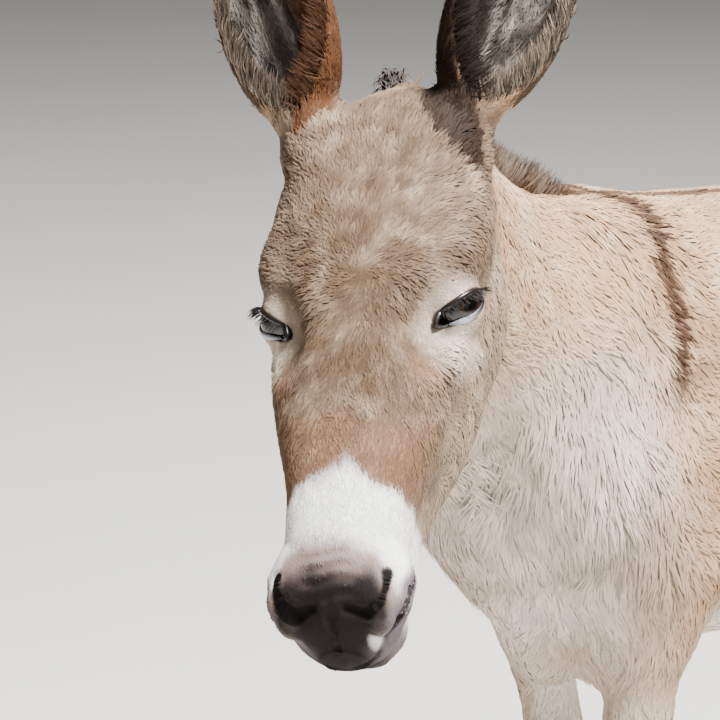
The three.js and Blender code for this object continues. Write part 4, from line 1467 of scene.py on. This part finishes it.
def makeLidRim(name, side):  # dark wet edge of the lids, with a painted highlight along the lower lid
    steps, around = 72, 8
    turn = np.linspace(0, 2 * np.pi, steps, endpoint=False)
    path = lidPath(turn, side, 1.6)
    run = unit(np.roll(path, -1, 0) - np.roll(path, 1, 0))
    away = unit(path - eyeAxes(side)[0])
    across = unit(np.cross(run, away))
    size = np.where(np.sin(turn) > 0, 2.9, 2.2 + 0.8 * np.exp(-((np.cos(turn) - 0.25) / 0.35) ** 2))
    q = []
    for i in range(steps):
        for k in range(around):
            angle = 2 * np.pi * k / around
            q.append(path[i] + (across[i] * math.cos(angle) + away[i] * math.sin(angle) * 0.9) * size[i])
    faces = []
    for i in range(steps):
        for k in range(around):
            a, b = i * around + k, i * around + (k + 1) % around
            c, d = ((i + 1) % steps) * around + (k + 1) % around, ((i + 1) % steps) * around + k
            faces.append([a, b, c, d])
    piece = headMesh("lid_rim_" + name, np.array(q), faces)
    selectOnly(piece)
    bpy.ops.object.mode_set(mode="EDIT")
    bpy.ops.mesh.select_all(action="SELECT")
    bpy.ops.mesh.normals_make_consistent(inside=False)
    bpy.ops.object.mode_set(mode="OBJECT")
    # painted highlight: a bluish white gleam along the middle of the lower lid
    pale = np.where(np.sin(turn) < -0.2, np.exp(-((np.cos(turn) - 0.25) / 0.38) ** 2), 0)
    c = np.repeat(mixed(np.tile(linear("#1A1310"), (steps, 1)), "lidHighlight", 0.9 * pale), around, 0)
    paintFur(piece.data, c)
    return piece


def makeLashes(name, side):
    rng = np.random.default_rng(lashes["seed"] + side)
    _, slit, up, out = eyeAxes(side)
    count = lashes["locks"]
    turn = rng.uniform(0.9, 2.9, count)
    root = lidPath(turn, side, 2.6)
    fan = np.outer((lidCurve(turn)[0] - 4) / 60, slit)
    direction = unit(0.8 * out + fan + 0.08 * rng.standard_normal((count, 3)))
    fall = unit(0.45 * out - 0.9 * up + fan)
    length = lashes["length"] + 7 * rng.random(count)
    face = unit(headVector(np.tile(up, (count, 1))))
    return longHair("lashes_" + name, lashes, fromHead(root), unit(headVector(direction)),
                    unit(headVector(fall)), length, np.tile(shades["charcoal"] * 0.5, (count, 1)), 52, face)


def makeLidSkin():  # bare wet skin on the lids' edges: near black with a painted highlight along the lower lid, fine-grained, with a wet shine
    material, tree, shader = newMaterial("wet_dark_lid_skin")
    place = placeIn(tree)
    grain = noiseNode(tree, place, 900.0, 3.0)
    bump = addNode(tree, "Bump", {"Height": grain, "Strength": 0.3, "Distance": 0.0003})
    colour = furIn(tree)
    feed(tree, shader, {"Base Color": colour, "Roughness": 0.3, "Normal": bump.outputs[0]})
    return material


# Making the animal
hide = makeHideMaterial()
hair = makeHairMaterial("short_coat_hair", 0.7)
coarseHair = makeHairMaterial("coarse_mane_hair", 0.55)
horn = makeHornMaterial()
lidSkin = makeLidSkin()


def paintSkin(skin):
    normals = np.empty(len(skin.data.vertices) * 3)
    skin.data.vertex_normals.foreach_get("vector", normals)
    p = toPlan(coordsOf(skin))
    c = furColour(p, normals.reshape(-1, 3))
    q = toHead(p)
    # painted shade: the skin under the coat is darkened to 0.8 of the coat's colour, as the shade between the
    # hairs; the bare skin of the muzzle keeps 0.96
    bare = np.where(upperBody(p), smoothStep(30, 0, headForms(q)) * smoothStep(385, 430, q[:, 1]), 0)
    c = c * (0.8 + 0.16 * bare)[:, None]
    near = np.nonzero(upperBody(p))[0]
    # painted shade: the nostril pits and the slit of the mouth are darkened nearly to black
    for _, pit, mouth in noseForms:
        inside = np.maximum(smoothStep(1.8, 0, pit(q[near])), 0.8 * smoothStep(1.5, 0, mouth(q[near])))
        c[near] = c[near] + (shades["charcoal"] * 0.3 - c[near]) * inside[:, None]
    # painted shade: the skin in each eye's opening, behind the ball, is darkened nearly to black
    for side in sides.values():
        slot = eyeOpening(q[near], side)
        inside = smoothStep(2.5, 0, slot) * (fromEye(q[near], side) < eyes["socket"])
        c[near] = c[near] + (shades["charcoal"] * 0.2 - c[near]) * inside[:, None]
    paintFur(skin.data, c)


def unwrapped(skin):
    selectOnly(skin)
    bpy.ops.object.mode_set(mode="EDIT")
    bpy.ops.mesh.select_all(action="SELECT")
    skin.data.uv_layers.new(name="OFBake")
    bpy.ops.uv.smart_project(angle_limit=math.radians(66), island_margin=0.002)
    bpy.ops.object.mode_set(mode="OBJECT")


def dress(piece, material):
    piece.data.materials.append(material)
    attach(piece, "root")


skin = makeSkin()
paintSkin(skin)
unwrapped(skin)
print("skin painted and unwrapped")
dress(skin, hide)
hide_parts(*skinSettings["nodes"])
for piece in makeCoat(skin):
    dress(piece, hair)
unwrappedPlace = skinMap(skin)
maneHair, tailHair = makeMane(), makeTail()
for piece in (maneHair, tailHair, makeForelock()):
    dress(piece, coarseHair)
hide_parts("mane")
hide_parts("tail_switch")
for name, side in sides.items():
    eye = makeEye(name, side)
    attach(eye, "root")
    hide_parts("eye_" + name)
    dress(makeLidRim(name, side), lidSkin)
    dress(makeLashes(name, side), coarseHair)
    dress(makeEarHair(name), hair)
print("long hair and eyes made")
for name in ("hoof_fore_left", "hoof_fore_right", "hoof_hind_left", "hoof_hind_right"):
    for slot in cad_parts[name].material_slots:
        slot.material = horn

# Floor, light and camera
studio = {"floor": 30.0, "world": 0.17}
lights = {  # place, aim, size and power
    "key": [(1.9, 0.1, 5.9), (0.1, -0.4, 0.95), 1.6, 1750.0],
    "front": [(2.6, -3.4, 2.0), (0.1, -0.4, 0.9), 2.4, 9.0],
    "back": [(-1.5, 3.0, 3.2), (0.0, 0.0, 0.9), 2.5, 20.0],
}
view = {"place": (1.7581, -2.0562, 1.5607), "down": 14.121, "turn": 47.987, "lens": 133.65, "sensor": 36.0}


def makeFloor():
    bpy.ops.object.select_all(action="DESELECT")
    bpy.ops.mesh.primitive_plane_add(size=2 * studio["floor"], location=(0, 0, 0))
    floor = bpy.context.view_layer.objects.active
    floor.name = "studio_floor"
    material, tree, shader = newMaterial("matt_pale_floor")
    place = placeIn(tree)
    cloud = noiseNode(tree, place, 1.5, 2.0)
    ramp = addNode(tree, "ValToRGB", {"Fac": cloud})
    ramp.color_ramp.elements[0].color = rgba("#D9D6D1")
    ramp.color_ramp.elements[1].color = rgba("#E0DDD9")
    feed(tree, shader, {"Base Color": ramp.outputs[0], "Roughness": 0.9})
    floor.data.materials.append(material)


def areaLight(name, place, target, size, power):
    data = bpy.data.lights.new(name, "AREA")
    data.size, data.energy = size, power
    lamp = newPiece(name, data)
    lamp.location = place
    aim = Vector(target) - Vector(place)
    lamp.rotation_euler = aim.to_track_quat("-Z", "Y").to_euler()


makeFloor()
for name, settings in lights.items():
    areaLight(name, *settings)
world = bpy.data.worlds.new("pale_studio")
world.use_nodes = True
world.node_tree.nodes["Background"].inputs["Color"].default_value = rgba("#F1EEE9")
world.node_tree.nodes["Background"].inputs["Strength"].default_value = studio["world"]
bpy.context.scene.world = world

lens = bpy.data.cameras.new("camera")
lens.lens, lens.sensor_width = view["lens"], view["sensor"]
camera = newPiece("camera", lens)
camera.location = view["place"]
camera.rotation_euler = (math.radians(90 - view["down"]), 0, math.radians(view["turn"]))
bpy.context.scene.camera = camera
